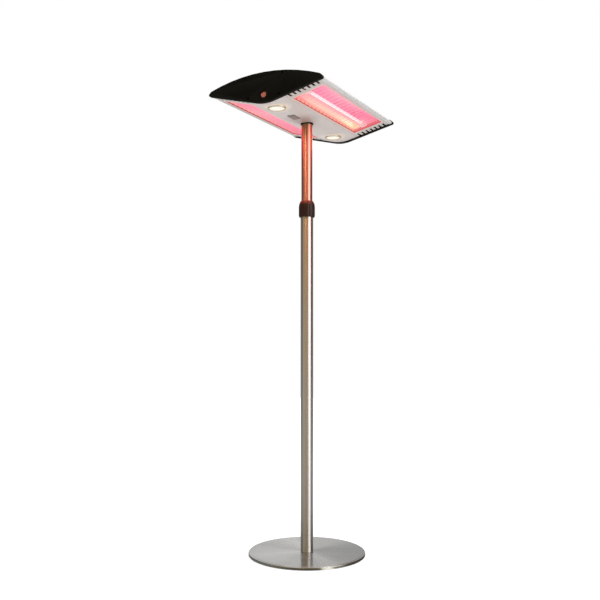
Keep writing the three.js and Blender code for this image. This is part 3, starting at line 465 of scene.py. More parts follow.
def make_base_steel():
    made, tree, shader = finish(
        "base_steel", Metallic=1.0, Anisotropic=0.9, Anisotropic_Rotation=0.25,
    )
    x, y, z = object_axes(tree)
    radius = reach(tree, x, y)
    turn = calculate(tree, "ARCTAN2", y, x)
    rings = add(tree, "ShaderNodeCombineXYZ")
    for axis, value, scale in (("X", radius, 1500.0), ("Y", turn, 1.2), ("Z", z, 900.0)):
        join(tree, calculate(tree, "MULTIPLY", value, scale), rings.inputs[axis])
    lines = effect(tree, brushed_lines, Fineness=1.0, Strength=0.3)
    feed(tree, lines, Vector=rings.outputs[0])
    dust = effect(tree, dust_and_marks, Scale=11.0, Cover=0.6).outputs["Mask"]
    spun = tint(tree, lines.outputs["Tone"], (0.53, 0.525, 0.505), (0.76, 0.755, 0.735))
    fans = round_the_turn(tree, turn, [(degrees, grey(v)) for degrees, v in painted_fan_shares])
    steel = tint(tree, fans, (0.0, 0.0, 0.0), spun)
    dusty = tint(tree, between(tree, dust, 0.0, 0.15), steel, (0.5, 0.48, 0.45))
    # painted reflection: a darker band on the rolled rim
    painted_dark_rim = graded(tree, radius, cover_edge - 0.0015, cover_edge - 0.0005)
    feed(
        tree, shader, Base_Color=tint(tree, painted_dark_rim, dusty, (0.40, 0.39, 0.33)),
        Roughness=between(tree, dust, 0.24, 0.34),
    )
    bump(tree, shader, lines.outputs["Height"], 0.000005, 0.4)
    round_the_pole(tree, shader)
    return made


base_steel = make_base_steel()
print("finish:", base_steel.name)

# %% [markdown]
# ## Sheet and plated metals
#
# The chassis, the socket and the lamp housings in the head are bare aluminium, and the
# top cover is silver paint: all have lines along the head. The flange and the bracket
# are zinc plated, which looks like a mottled grey metal, and the end caps' screws are
# blackened. The weight inside the base is rough cast iron under black paint, and the
# lamp rings are bronze-coloured anodised aluminium. They differ only in tones, shine,
# lines and grain, so one function with arguments makes them all.

# %% Plain metals
def make_metal(name, dark, light, rough, brush=None, grain=500.0, relief=0.00002, share=1.0):
    """A metal between two tones, brushed along one axis if a stretch is given."""
    made, tree, shader = finish(name, Metallic=share)
    if brush:
        skin = effect(tree, brushed_lines, Fineness=1.0, Strength=0.5)
        feed(tree, skin, Vector=stretched(tree, brush))
    else:
        skin = effect(tree, moulded_grain, Scale=grain, Softness=0.7)
    wear = effect(tree, edge_wear, Threshold=0.52, Sharpness=10.0, Patchiness=90.0)
    dust = effect(tree, dust_and_marks, Scale=16.0, Cover=0.5)
    base = tint(tree, skin.outputs["Tone"], dark, light)
    bright = tuple(min(1.0, 1.35 * c) for c in light)
    feed(
        tree, shader, Base_Color=tint(tree, wear.outputs["Mask"], base, bright),
        Roughness=between(tree, dust.outputs["Mask"], rough, rough + 0.15),
    )
    bump(tree, shader, skin.outputs["Height"], relief, 0.6)
    return made


casing_aluminium = make_metal(
    "casing_aluminium", (0.62, 0.62, 0.61), (0.76, 0.76, 0.75), 0.42,
    brush=(900.0, 6.0, 900.0),
)
cover_silver = make_metal(
    "cover_silver", (0.60, 0.60, 0.59), (0.72, 0.72, 0.71), 0.5,
    brush=(700.0, 6.0, 700.0), share=0.35,
)
zinc_plate = make_metal("zinc_plate", (0.36, 0.36, 0.35), (0.52, 0.52, 0.5), 0.38, grain=260.0)
black_screw = make_metal(
    "black_screw", (0.003, 0.003, 0.0025), (0.007, 0.0065, 0.006), 0.6, grain=900.0,
)
cast_iron = make_metal("cast_iron", (0.03, 0.03, 0.03), (0.07, 0.07, 0.068), 0.6, relief=0.0003)
bronze_ring = make_metal("bronze_ring", (0.56, 0.48, 0.36), (0.72, 0.65, 0.52), 0.5, grain=700.0)
metals = (casing_aluminium, cover_silver, zinc_plate, black_screw, cast_iron, bronze_ring)
print("metals:", [metal.name for metal in metals])

# %% [markdown]
# ## Black plastics and rubber
#
# The end caps, the clamp and the switch are moulded in black glass-filled plastic
# with a fine spark grain. Handling polishes the high spots and edges a little, and
# dust turns the rest faintly grey. A flat black would show none of that and would
# look like a hole. The clamp's grip has a browner black, painted light for the
# heater's own light on it, and its crown has a little painted red light. Rubber has
# a coarser, softer grain and no shine.

# %% Black mouldings
def make_black(name, colour, dusty, rough, grain, relief, level):
    """A black skin under a film of dust, polished a little where hands rub its edges."""
    made, tree, shader = finish(name, Specular_IOR_Level=level)
    skin = effect(tree, moulded_grain, Scale=grain, Softness=0.45)
    wear = effect(tree, edge_wear, Threshold=0.52, Sharpness=9.0, Patchiness=80.0)
    rubbed = wear.outputs["Mask"]
    dust = effect(tree, dust_and_marks, Scale=13.0, Cover=0.8).outputs["Mask"]
    film = tint(tree, between(tree, dust, 0.0, 0.5), colour, dusty)
    handled = calculate(
        tree, "SUBTRACT", between(tree, dust, rough, rough + 0.15),
        between(tree, rubbed, 0.0, 0.2),
    )
    feed(
        tree, shader, Base_Color=tint(tree, rubbed, film, tuple(3.0 * c for c in dusty)),
        Roughness=handled,
    )
    bump(tree, shader, skin.outputs["Height"], relief, 0.5)
    return made


def light_the_crown(material, top, depth, colour):
    """Faint painted red light on the top of a moulding, as emission, for the windows' light above
    it.
    """
    tree = material.node_tree
    shader = tree.nodes["Principled BSDF"]
    shader.inputs["Emission Strength"].default_value = 1.0
    crown = effect(tree, warmth, Low=top - depth, High=top, Full=1.0)
    feed(
        tree, shader, Emission_Color=tint(tree, crown.outputs["Mask"], (0.0, 0.0, 0.0), colour),
    )


moulded_black = make_black(
    "moulded_black", (0.0036, 0.0035, 0.0025), (0.0075, 0.0072, 0.0055),
    rough=0.5, grain=1300.0, relief=0.00005, level=0.05,
)
# painted light: the grip's black is browner, for the heater's glow on it
grip_black = make_black(
    "grip_black", (0.016, 0.0055, 0.003), (0.03, 0.012, 0.008),
    rough=0.4, grain=1300.0, relief=0.00005, level=0.3,
)
# painted red light on the grip's crown, as emission
light_the_crown(grip_black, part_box("clamp_nut")[1].z, 0.017, (0.16, 0.008, 0.004))
rubber_black = make_black(
    "rubber_black", (0.012, 0.012, 0.012), (0.03, 0.03, 0.029),
    rough=0.75, grain=700.0, relief=0.0001, level=0.4,
)
print("blacks:", moulded_black.name, grip_black.name, rubber_black.name)

# %% [markdown]
# ## The heating elements
#
# Behind each window a coil glows inside a quartz tube, and a polished trough throws
# its heat out. What shows is mostly the glow on the trough: pale orange on the wall
# next to the belly panel, pink on the back and the outer wall, and not quite even
# from one end to the other. The glow could come from the coil's own light bouncing
# in the trough, but that takes many samples to settle. Here it is painted light: the
# trough's own emission and a red tint of its metal carry it, laid out by the place
# across the wing and along it, with painted shade on the sheet's outside and at the
# foot of the end walls, and the coil adds its white line.

# %% Wing coordinates
wing_slope = math.radians(14.0)
keel_radius = 0.150
wing_base = keel_height + keel_radius - keel_radius / math.cos(wing_slope)


def on_wing(u, y, n):
    """A point u along the right wing, y along the head and n above its lower line."""
    c, s = math.cos(wing_slope), math.sin(wing_slope)
    return Vector((u * c - n * s, y, wing_base + u * s + n * c))


def wing_place(tree):
    """Sockets for the place along the wing and above it, the same on both wings."""
    x, y, z = object_axes(tree)
    out = calculate(tree, "ABSOLUTE", x)
    rise = calculate(tree, "SUBTRACT", z, wing_base)
    c, s = math.cos(wing_slope), math.sin(wing_slope)
    along = calculate(
        tree, "ADD", calculate(tree, "MULTIPLY", out, c), calculate(tree, "MULTIPLY", rise, s),
    )
    above = calculate(
        tree, "SUBTRACT", calculate(tree, "MULTIPLY", rise, c),
        calculate(tree, "MULTIPLY", out, s),
    )
    return along, y, above


print("wing line starts at", round(wing_base, 4))

# %% Window and trough
window_inner = 0.0857  # windows start this far along the wing
window_outer = 0.2053
window_middle = (window_inner + window_outer) / 2
window_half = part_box("reflector_right")[1].y - 0.004  # half the window's length
trough_foot = 0.0143  # where the trough stands on the window's folded edge
trough_back = 0.045  # how high its back lies above the wing's lower line
inner_lean = 0.228  # how far the trough's inner wall leans for each metre of depth
outer_lean = 1.485
trough_slack = 0.0005  # lets a face that lies on an outline count as inside it
tube_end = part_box("quartz_tube_right")[1].y
rod_pitch = 0.0291  # between the guard's stout rods
rod_radius = 0.0009


def from_rod(tree, y):
    """How far a place lies from the middle of the nearest stout rod."""
    return calculate(tree, "PINGPONG", y, rod_pitch / 2)


def from_middle(tree, y):
    """How far a place lies from the middle of the head, towards either end."""
    return calculate(tree, "ABSOLUTE", y)


def trough_inside(tree, along, y, above):
    """A mask for the faces that look into the window, and not for the sheet's back."""
    rise = calculate(tree, "SUBTRACT", above, trough_foot)
    inner_fall = calculate(tree, "MULTIPLY", rise, inner_lean)
    outer_fall = calculate(tree, "MULTIPLY", rise, outer_lean)
    inner = calculate(tree, "ADD", inner_fall, window_inner - trough_slack)
    outer = calculate(tree, "SUBTRACT", window_outer + trough_slack, outer_fall)
    return product(
        tree, below(tree, above, trough_back + trough_slack),
        below(tree, from_middle(tree, y), window_half + trough_slack),
        below(tree, inner, along), below(tree, along, outer),
    )


print("window half length", round(window_half, 3))

# %% Colours of the glow
glow_across = [  # place round the trough, from the foot of the inner wall
    (0.0, (0.55, 0.07, 0.03)),
    (0.04, (0.90, 0.40, 0.18)),
    (0.12, (0.96, 0.86, 0.52)),
    (0.24, (0.95, 0.74, 0.48)),
    (0.36, (0.88, 0.30, 0.36)),  # bend to the back
    (0.60, (0.74, 0.08, 0.25)),
    (0.86, (0.76, 0.08, 0.26)),  # bend to the outer wall
    (0.94, (0.88, 0.18, 0.32)),
    (1.0, (0.76, 0.12, 0.22)),
]
pale_across = [  # the bright streaks between the brushed lines
    (0.0, (0.9, 0.3, 0.15)), (0.15, (1.0, 0.95, 0.66)), (0.36, (0.98, 0.55, 0.55)),
    (0.6, (0.95, 0.26, 0.46)), (1.0, (0.95, 0.30, 0.46)),
]
corner_across = [  # the trough's two end walls
    (0.0, (0.6, 0.08, 0.03)), (0.1, (1.0, 0.66, 0.20)), (0.35, (1.0, 0.62, 0.35)),
    (0.55, (0.95, 0.35, 0.42)), (1.0, (0.85, 0.12, 0.25)),
]
outer_swell = [  # place along a window from the front, and shares of red, green and blue
    (0.0, (0.87, 0.82, 0.90)), (0.16, (0.88, 0.99, 1.0)), (0.30, (0.88, 1.24, 1.10)),
    (0.48, (0.87, 1.03, 1.0)), (0.66, (0.86, 0.90, 0.93)), (0.84, (0.83, 0.80, 0.86)),
    (1.0, (0.84, 0.98, 0.98)),
]
inner_swell = [
    (0.0, (0.90, 0.42, 0.62)), (0.10, (0.92, 0.44, 0.60)), (0.24, (0.94, 0.80, 0.84)),
    (0.48, (0.96, 0.86, 0.82)), (0.70, (0.96, 1.0, 0.94)), (0.90, (0.98, 1.5, 1.3)),
    (1.0, (1.0, 1.5, 1.3)),
]


def lengthwise(tree, y, colour, swell):
    """The glow is not even along a window. This multiplies it by a list of shares."""
    shares = ramp(tree, graded(tree, y, -window_half, window_half), swell)
    return mix_colours(tree, 1.0, colour, shares, blend_type="MULTIPLY")


print("stops across the trough:", len(glow_across))

# %% Glowing trough
def make_trough_glow():
    """Polished sheet with the heat's glow painted on inside as emission and a red tint, and
    painted shade outside, where it is near black.
    """
    made, tree, shader = finish("trough_glow", Metallic=1.0, Emission_Strength=1.0)
    wall_end, back_start = 0.26, 0.40  # shares of the way round, at the inner wall's bend
    corner_depth = 0.02  # how far the end walls' colour reaches along the window
    along, y, above = wing_place(tree)
    path = calculate(tree, "ADD", along, above)
    around = graded(tree, path, window_inner + trough_foot, window_outer + trough_foot)
    lines = effect(tree, brushed_lines, Fineness=1.0, Strength=0.9)
    feed(tree, lines, Vector=stretched(tree, (260.0, 9.0, 260.0)))
    tone = lines.outputs["Tone"]
    glow, pale, corner = (
        ramp(tree, around, stops) for stops in (glow_across, pale_across, corner_across)
    )
    streaked = tint(tree, between(tree, tone, 0.0, 0.6), glow, pale)
    swollen = tint(
        tree, graded(tree, around, wall_end, back_start),
        lengthwise(tree, y, streaked, inner_swell), lengthwise(tree, y, streaked, outer_swell),
    )
    # painted shade: the end walls are dark red at their foot
    foot = graded(tree, above, trough_foot + 0.004, trough_foot + 0.006)
    end_wall = tint(tree, foot, (0.40, 0.02, 0.02), corner)
    at_end = graded(
        tree, from_middle(tree, y), window_half - corner_depth, window_half - 0.001, high=0.8,
    )
    inside = trough_inside(tree, along, y, above)
    # painted light: the metal is tinted red for the glow on it, and painted near black outside
    # the trough as shade
    glow_tinted_metal = tint(tree, tone, (0.24, 0.08, 0.09), (0.34, 0.13, 0.13))
    feed(
        tree, shader, Base_Color=tint(tree, inside, (0.06, 0.06, 0.06), glow_tinted_metal),
        Emission_Color=tint(
            tree, inside, (0.0, 0.0, 0.0), tint(tree, at_end, swollen, end_wall),
        ),
        Roughness=between(tree, tone, 0.18, 0.3),
    )
    return made


trough_glow = make_trough_glow()
print("finish:", trough_glow.name)

# %% Guard wire
def make_guard_wire():
    """Plated wire with the trough's glow painted on as emission and a red tint, and painted shade
    where it ends.
    """
    made, tree, shader = finish("guard_wire", Metallic=0.6, Emission_Strength=1.0)
    skin = effect(tree, moulded_grain, Scale=160.0, Softness=0.8)
    tone = skin.outputs["Tone"]
    along, y, above = wing_place(tree)
    # painted light: the trough's glow on the wires, as emission, brighter on the stout rods
    thin = tint(tree, between(tree, tone, -0.4, 1.4), (0.74, 0.16, 0.25), (1.0, 0.36, 0.43))
    stout = below(tree, from_rod(tree, y), 1.2 * rod_radius)
    glow = lengthwise(tree, y, tint(tree, stout, thin, (1.0, 0.40, 0.47)), outer_swell)
    off = calculate(tree, "ABSOLUTE", calculate(tree, "SUBTRACT", along, window_middle))
    window_edge = window_outer - window_middle
    # painted shade: darker red where the wires end at the folded edge
    root_shade = graded(tree, off, window_edge - 0.006, window_edge - 0.003)
    feed(
        tree, shader, Base_Color=tint(tree, tone, (0.16, 0.05, 0.06), (0.26, 0.09, 0.10)),
        Emission_Color=tint(tree, root_shade, glow, (0.30, 0.015, 0.015)),
        Roughness=between(tree, tone, 0.3, 0.5),
    )
    bump(tree, shader, skin.outputs["Height"], 0.00003, 0.5)
    return made


guard_wire = make_guard_wire()
print("finish:", guard_wire.name)

# %% [markdown]
# ## Painted panels
#
# The panels on the underside have a warm grey satin enamel. It has a faint orange
# peel, a thin film of dust, and a pale rub along the cut edges. The folded edges of
# the windows have the trough's red light painted on, as emission and a redder colour,
# and the painted glow dies out within a centimetre on the flat of the wing, with
# painted shade at the rods' holes and the windows' ends. Round the pole the belly
# panel is painted a little browner, as painted shade, and beside the lamps' rings it
# has a little painted warm light, with a faint painted glow over the rest. These lights
# could be left to the render too, but they are weak and narrow, so they would come
# out as noise.

# %% Enamel
def make_enamel(name):
    """Plain enamel, with the socket of its colour before the painted light and shade of each
    panel are laid over it.
    """
    made, tree, shader = finish(
        name, Coat_Weight=0.2, Coat_Roughness=0.3, Emission_Strength=1.0,
    )
    peel = effect(tree, moulded_grain, Scale=420.0, Softness=0.9)
    wear = effect(tree, edge_wear, Threshold=0.53, Sharpness=8.0, Patchiness=120.0)
    dust = effect(tree, dust_and_marks, Scale=10.0, Cover=0.6).outputs["Mask"]
    enamel = tint(tree, peel.outputs["Tone"], (0.66, 0.595, 0.55), (0.72, 0.65, 0.605))
    dusty = tint(tree, between(tree, dust, 0.0, 0.25), enamel, (0.60, 0.53, 0.48))
    rubbed = tint(tree, wear.outputs["Mask"], dusty, (0.76, 0.72, 0.7))
    feed(tree, shader, Roughness=between(tree, dust, 0.4, 0.52))
    bump(tree, shader, peel.outputs["Height"], 0.00004, 0.5)
    return made, tree, shader, rubbed


print("enamel ready")

# %% Belly enamel
lens_low, lens_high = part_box("lamp_lens_rear")
lamp_place = (lens_low.y + lens_high.y) / 2  # from the pole to the middle of a lamp
lens_radius = (lens_high.x - lens_low.x) / 2
# painted shade round the pole, and painted light round the lamps:
painted_shade_place = -0.045  # the browner patch lies a little in front of the pole
painted_shade_radius = 0.085
halo_start = lens_radius + 0.0028  # just outside the lens
halo_radius = 0.06


def from_lamp(tree, x, y):
    """How far a place lies from the axis of the nearer of the two lamps."""
    return reach(tree, x, calculate(tree, "SUBTRACT", from_middle(tree, y), lamp_place))


def make_belly_enamel():
    made, tree, shader, enamel = make_enamel("belly_enamel")
    x, y, z = object_axes(tree)
    # painted shade: a browner patch a little in front of the pole
    away = reach(tree, x, calculate(tree, "SUBTRACT", y, painted_shade_place))
    stain_and_painted_light = graded(tree, away, 0.01, painted_shade_radius, 0.8, 0.0, "SMOOTHSTEP")
    off = from_lamp(tree, x, y)
    # painted light: warm emission round each lamp's ring, and a faint red glow over the rest
    halo = graded(tree, off, halo_start, halo_radius, 1.0, 0.0, "SMOOTHSTEP")
    feed(
        tree, shader, Base_Color=tint(tree, stain_and_painted_light, enamel, (0.42, 0.29, 0.25)),
        Emission_Color=tint(tree, halo, (0.02, 0.006, 0.005), (0.22, 0.15, 0.08)),
    )
    return made


belly_enamel = make_belly_enamel()
print("finish:", belly_enamel.name)

# %% Wing enamel
fold_depth = 0.0082  # how far up the window's folded edge is lit in full
fold_slack = 0.0008  # the folded edge lies this close to the window's outline
glow_width = 0.012  # how far the glow reaches on the flat of the wing
# painted shade at each rod's hole, and at the folded edge's ends:
hole_shade = 0.0022  # half the dark patch where a rod goes through the folded edge
end_slack = 0.0006  # a fold this close to the window's end belongs to that end


def outside_window(tree, along, y):
    """How far a place lies outside the window's outline, in metres."""
    inward = calculate(tree, "SUBTRACT", window_inner, along)
    outward = calculate(tree, "SUBTRACT", along, window_outer)
    endward = calculate(tree, "SUBTRACT", from_middle(tree, y), window_half)
    across = calculate(tree, "MAXIMUM", inward, outward)
    return calculate(tree, "MAXIMUM", across, endward)


def fold_glow(tree, outside, y, above):
    """The trough's light painted on the folded edge and on the flat beside it, with painted shade
    at the rods' holes and the window's ends.
    """
    flat = ramp(tree, graded(tree, outside, 0.0, glow_width, 0.04, 1.0), [
        (0.0, (0.42, 0.06, 0.03)), (0.045, (0.22, 0.03, 0.04)), (0.35, (0.11, 0.02, 0.025)),
        (1.0, (0.0, 0.0, 0.0)),
    ])
    on_fold = below(tree, outside, fold_slack)
    deep = graded(tree, above, fold_depth - 0.002, fold_depth)
    hole = below(tree, from_rod(tree, y), hole_shade)
    at_end = below(tree, window_half - end_slack, from_middle(tree, y))
    lit = flat
    for mask, colour in (
        (deep, (0.86, 0.44, 0.24)), (hole, (0.40, 0.02, 0.015)), (at_end, (0.42, 0.025, 0.03)),
    ):
        lit = tint(tree, product(tree, mask, on_fold), lit, colour)
    return lit


def make_wing_enamel():
    made, tree, shader, enamel = make_enamel("wing_enamel")
    along, y, above = wing_place(tree)
    outside = outside_window(tree, along, y)
    folded = below(tree, outside, fold_slack / 2)
    # painted light: the folded edge's colour is a dark red, and the trough's light is painted on
    # as emission
    feed(
        tree, shader, Base_Color=tint(tree, folded, enamel, (0.30, 0.10, 0.07)),
        Emission_Color=fold_glow(tree, outside, y, above),
    )
    return made


wing_enamel = make_wing_enamel()
print("finish:", wing_enamel.name)

# %% [markdown]
# ## Quartz, wire and ceramic
#
# The tube is clear quartz with a few fine seeds in it and a faint painted glow, the
# coil is at full heat, and the holders are unglazed white ceramic with some of the
# glow beside it painted on as emission.
# The quartz could be left out, since it is so clear, but its edges draw two fine
# lines along each window.

# %% Quartz, coil and ceramic
def make_quartz():
    # painted glow: the quartz has a faint pink emission, for the coil's light in it
    made, tree, shader = finish(
        "quartz", IOR=1.46, Transmission_Weight=1.0, Emission_Strength=0.3,
    )
    seeds = effect(tree, dust_and_marks, Scale=60.0, Cover=0.4).outputs["Mask"]
    feed(
        tree, shader, Base_Color=tint(tree, seeds, (1.0, 0.93, 0.9), (1.0, 0.85, 0.8)),
        Emission_Color=tint(tree, seeds, (1.0, 0.62, 0.66), (1.0, 0.74, 0.74)),
        Roughness=between(tree, seeds, 0.03, 0.12),
    )
    return made


def make_hot_coil():
    """Wire at full heat, cooling to orange where its ends meet the holders."""
    made, tree, shader = finish("hot_coil", Roughness=0.6, Emission_Strength=0.85)
    hot_end = tube_end - 0.012
    x, y, z = object_axes(tree)
    glow = ramp(tree, graded(tree, from_middle(tree, y), hot_end - 0.03, hot_end), [
        (0.0, (1.0, 0.84, 0.86)), (0.6, (1.0, 0.45, 0.25)), (1.0, (0.25, 0.01, 0.02)),
    ])
    noise = add(tree, "ShaderNodeTexNoise", {"Scale": 300.0, "Detail": 2.0})
    feed(tree, noise, Vector=object_place(tree))
    ripple = noise.outputs["Fac"]
    feed(
        tree, shader, Base_Color=tint(tree, ripple, (0.3, 0.2, 0.15), (0.5, 0.4, 0.3)),
        Emission_Color=tint(tree, between(tree, ripple, 0.0, 0.25), glow, (1.0, 0.95, 0.9)),
    )
    return made


def make_ceramic():
    """Unglazed white ceramic, with the glow beside it painted on as emission."""
    made, tree, shader = finish("steatite", Roughness=0.55, Emission_Strength=0.25)
    skin = effect(tree, moulded_grain, Scale=1500.0, Softness=0.5)
    stain_and_painted_light = effect(tree, dust_and_marks, Scale=70.0, Cover=0.6).outputs["Mask"]
    clay = tint(tree, skin.outputs["Tone"], (0.8, 0.76, 0.68), (0.88, 0.85, 0.78))
    feed(
        tree, shader,
        Base_Color=tint(tree, between(tree, stain_and_painted_light, 0.0, 0.5), clay, (0.7, 0.55, 0.4)),
        Emission_Color=tint(tree, stain_and_painted_light, (1.0, 0.75, 0.6), (1.0, 0.6, 0.5)),
    )
    bump(tree, shader, skin.outputs["Height"], 0.00008, 0.5)
    return made


quartz = make_quartz()
hot_coil = make_hot_coil()
steatite = make_ceramic()
print("finishes:", quartz.name, hot_coil.name, steatite.name)

# %% [markdown]
# ## Lamps, receiver, switch and boards
#
# The lamps are frosted glass over warm white light, which turns yellower at the rim.
# The receiver is dark plastic that lets infrared through, with a darker border where
# it is painted behind. The rocker is red translucent plastic with a lamp inside, and
# the boards are green laminate with a pattern of tracks. Real light could be sent
# through the glass and the plastic, but a frosted skin hides the path anyway, so a
# little emission on the skin does the same.

# %% Lamp glass
def make_lamp_glass():
    made, tree, shader = finish("lamp_glass", Emission_Strength=1.0, Coat_Weight=0.4)
    x, y, z = object_axes(tree)
    light = ramp(tree, graded(tree, from_lamp(tree, x, y), 0.0, lens_radius), [
        (0.0, (0.68, 0.68, 0.60)), (0.7, (0.68, 0.66, 0.56)), (0.88, (0.66, 0.56, 0.43)),
        (1.0, (0.52, 0.37, 0.22)),
    ])
    frost = effect(tree, moulded_grain, Scale=800.0, Softness=0.5)
    tone = frost.outputs["Tone"]
    feed(
        tree, shader, Base_Color=tint(tree, tone, (0.30, 0.29, 0.27), (0.38, 0.37, 0.35)),
        Emission_Color=tint(tree, between(tree, tone, 0.0, 0.15), light, (0.68, 0.60, 0.46)),
        Roughness=between(tree, tone, 0.25, 0.4),
    )
    bump(tree, shader, frost.outputs["Height"], 0.0001, 0.4)
    return made


lamp_glass = make_lamp_glass()
print("finish:", lamp_glass.name)

# %% Small plastics
def make_receiver_tint():
    made, tree, shader = finish(
        "receiver_tint", Coat_Weight=0.05, Coat_Roughness=0.1, Specular_IOR_Level=0.12,
    )
    low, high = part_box("receiver_window")
    centre, half = (low + high) / 2, (high - low) / 2
    x, y, z = object_axes(tree)
    side = calculate(tree, "DIVIDE", calculate(tree, "ABSOLUTE", x), half.x)
    off = calculate(tree, "ABSOLUTE", calculate(tree, "SUBTRACT", y, centre.y))
    end = calculate(tree, "DIVIDE", off, half.y)
    border = graded(tree, calculate(tree, "MAXIMUM", side, end), 0.74, 0.8)
    cloud = effect(tree, dust_and_marks, Scale=40.0, Cover=0.5).outputs["Mask"]
    face = tint(tree, cloud, (0.23, 0.115, 0.10), (0.30, 0.165, 0.145))
    feed(
        tree, shader, Base_Color=tint(tree, border, face, (0.16, 0.12, 0.11)),
        Roughness=between(tree, cloud, 0.15, 0.3),
    )
    return made


def make_rocker_red():
    made, tree, shader = finish(
        "rocker_red", Emission_Strength=0.06, Coat_Weight=0.1, Specular_IOR_Level=0.25,
    )
    tone = effect(tree, moulded_grain, Scale=900.0, Softness=0.6).outputs["Tone"]
    wear = effect(tree, edge_wear, Threshold=0.52, Sharpness=8.0, Patchiness=200.0)
    red = tint(tree, tone, (0.21, 0.028, 0.020), (0.28, 0.045, 0.03))
    feed(
        tree, shader, Base_Color=tint(tree, wear.outputs["Mask"], red, (0.7, 0.3, 0.2)),
        Emission_Color=tint(tree, tone, (0.9, 0.12, 0.05), (1.0, 0.2, 0.08)),
        Roughness=between(tree, tone, 0.3, 0.42),
    )
    return made


def make_board_green():
    made, tree, shader = finish("board_green", Coat_Weight=0.3)
    tracks = add(tree, "ShaderNodeTexBrick", {"Scale": 120.0, "Mortar Size": 0.03})
    feed(tree, tracks, Vector=object_place(tree))
    dust = effect(tree, dust_and_marks, Scale=30.0, Cover=0.6).outputs["Mask"]
    green = tint(tree, tracks.outputs["Fac"], (0.02, 0.14, 0.06), (0.05, 0.22, 0.09))
    feed(
        tree, shader,
        Base_Color=tint(tree, between(tree, dust, 0.0, 0.3), green, (0.2, 0.22, 0.18)),
        Roughness=between(tree, dust, 0.35, 0.6),
    )
    return made


receiver_tint = make_receiver_tint()
rocker_red = make_rocker_red()
board_green = make_board_green()
print("small plastics:", receiver_tint.name, rocker_red.name, board_green.name)

# %% [markdown]
# ## Dressing the CAD pieces
#
# A CAD piece arrives as flat facets with split corners. Its mesh stays as it is, and
# modifiers do the rest: the corners are welded and edges that are almost flat are
# shaded smooth. On the mouldings even the chamfers are smoothed, and their normals
# are weighted by area, so that the flats stay flat and a chamfer reads as a rounded
# edge. The smoothing could be done by editing each mesh, but a modifier leaves the
# engineering shape untouched.

# %% Smoothing modifier
def build_smoother(name, angle_degrees):
    """Geometry nodes that shade a mesh smooth, except at edges steeper than an angle."""
    tree = bpy.data.node_groups.new(name, "GeometryNodeTree")
    for side in ("INPUT", "OUTPUT"):
        tree.interface.new_socket("Geometry", in_out=side, socket_type="NodeSocketGeometry")
    given, out = add(tree, "NodeGroupInput"), add(tree, "NodeGroupOutput")
    bare = add(tree, "GeometryNodeRemoveAttribute", {"Name": "custom_normal"})
    faces = add(tree, "GeometryNodeSetShadeSmooth", {"Shade Smooth": True}, domain="FACE")
    edges = add(tree, "GeometryNodeSetShadeSmooth", {"Shade Smooth": True}, domain="EDGE")
    creases = add(tree, "GeometryNodeSetShadeSmooth", {"Shade Smooth": False}, domain="EDGE")
    angle = add(tree, "GeometryNodeInputMeshEdgeAngle")
    steep = add(
        tree, "FunctionNodeCompare", {"B": math.radians(angle_degrees)}, data_type="FLOAT",
        operation="GREATER_THAN",
    )
    join(tree, angle.outputs["Unsigned Angle"], steep.inputs["A"])
    join(tree, steep.outputs["Result"], creases.inputs["Selection"])
    chain = (given, bare, faces, edges, creases, out)
    for before, after in zip(chain, chain[1:]):
        join(tree, before.outputs[0], after.inputs[0])
    return tree


smooth_rounds = build_smoother("smooth_rounds", 32.0)
soft_edges = build_smoother("soft_edges", 58.0)
print("smoothers:", smooth_rounds.name, soft_edges.name)

# %% Dressing a piece
weld_distance = 0.00001  # corners closer than this are one corner


def dress(names, material, moulded=False):
    """Gives CAD pieces their finish and smooth rounds, with soft edges on a moulding."""
    for name in names:
        piece = nodes[name]
        for slot in piece.material_slots:
            slot.material = material
        weld = piece.modifiers.new("weld", "WELD")
        weld.merge_threshold = weld_distance
        smooth = piece.modifiers.new("smooth_rounds", "NODES")
        smooth.node_group = soft_edges if moulded else smooth_rounds
        if moulded:
            even = piece.modifiers.new("even_normals", "WEIGHTED_NORMAL")
            even.keep_sharp = True


def named(*starts):
    """The CAD nodes whose names begin with one of these."""
    return sorted(n for n in nodes if n.startswith(starts))


print("feet:", named("foot_"))

# %% Finishes by piece
dress(["lower_tube"], pole_steel)
dress(["upper_tube"], mast_steel)
dress(["base_cover"], base_steel)
dress(["base_weight"], cast_iron)
dress(named("foot_") + ["cable_grommet"], rubber_black)
dress(["clamp_sleeve", "clamp_collet", "guide_bush", "clamp_nut"], moulded_black)
dress(["mast_trim", "switch_body"] + named("end_cap"), moulded_black, moulded=True)
dress(["tube_flange", "mast_bracket"] + named("flange_screw"), zinc_plate)
dress(named("cap_screw"), black_screw)
dress(["mast_socket", "chassis"] + named("lamp_housing"), casing_aluminium)
dress(["top_cover"], cover_silver)
dress(["belly_panel"], belly_enamel)
dress(named("wing_frame"), wing_enamel)
dress(named("reflector"), trough_glow)
dress(named("guard"), guard_wire)
dress(named("quartz_tube"), quartz)
dress(named("filament"), hot_coil)
dress(named("tube_holder"), steatite, moulded=True)
dress(named("lamp_bezel"), bronze_ring)
dress(named("lamp_lens"), lamp_glass)
dress(["receiver_window"], receiver_tint)
dress(["receiver_board", "control_board"], board_green)
dress(["switch_rocker"], rocker_red, moulded=True)
undressed = [n for n, o in nodes.items() if "smooth_rounds" not in o.modifiers]
print("dressed:", len(nodes) - len(undressed), "left over:", undressed)

# %% [markdown]
# ## Pieces that need a finer shape
#
# A few pieces need more than the CAD solids have: the wound coils, the guard's fine
# mesh, the lamps' ribbed lenses, the cross recesses of the screws, the grip of the
# clamp, the ring at the top of the pole and the rolled edge of the base cover. Each
# one is a mesh made here in the place of its CAD node, which stays on for collisions,
# hidden. Modelling them by hand would work too, but a profile or a path in code keeps
# every size readable.

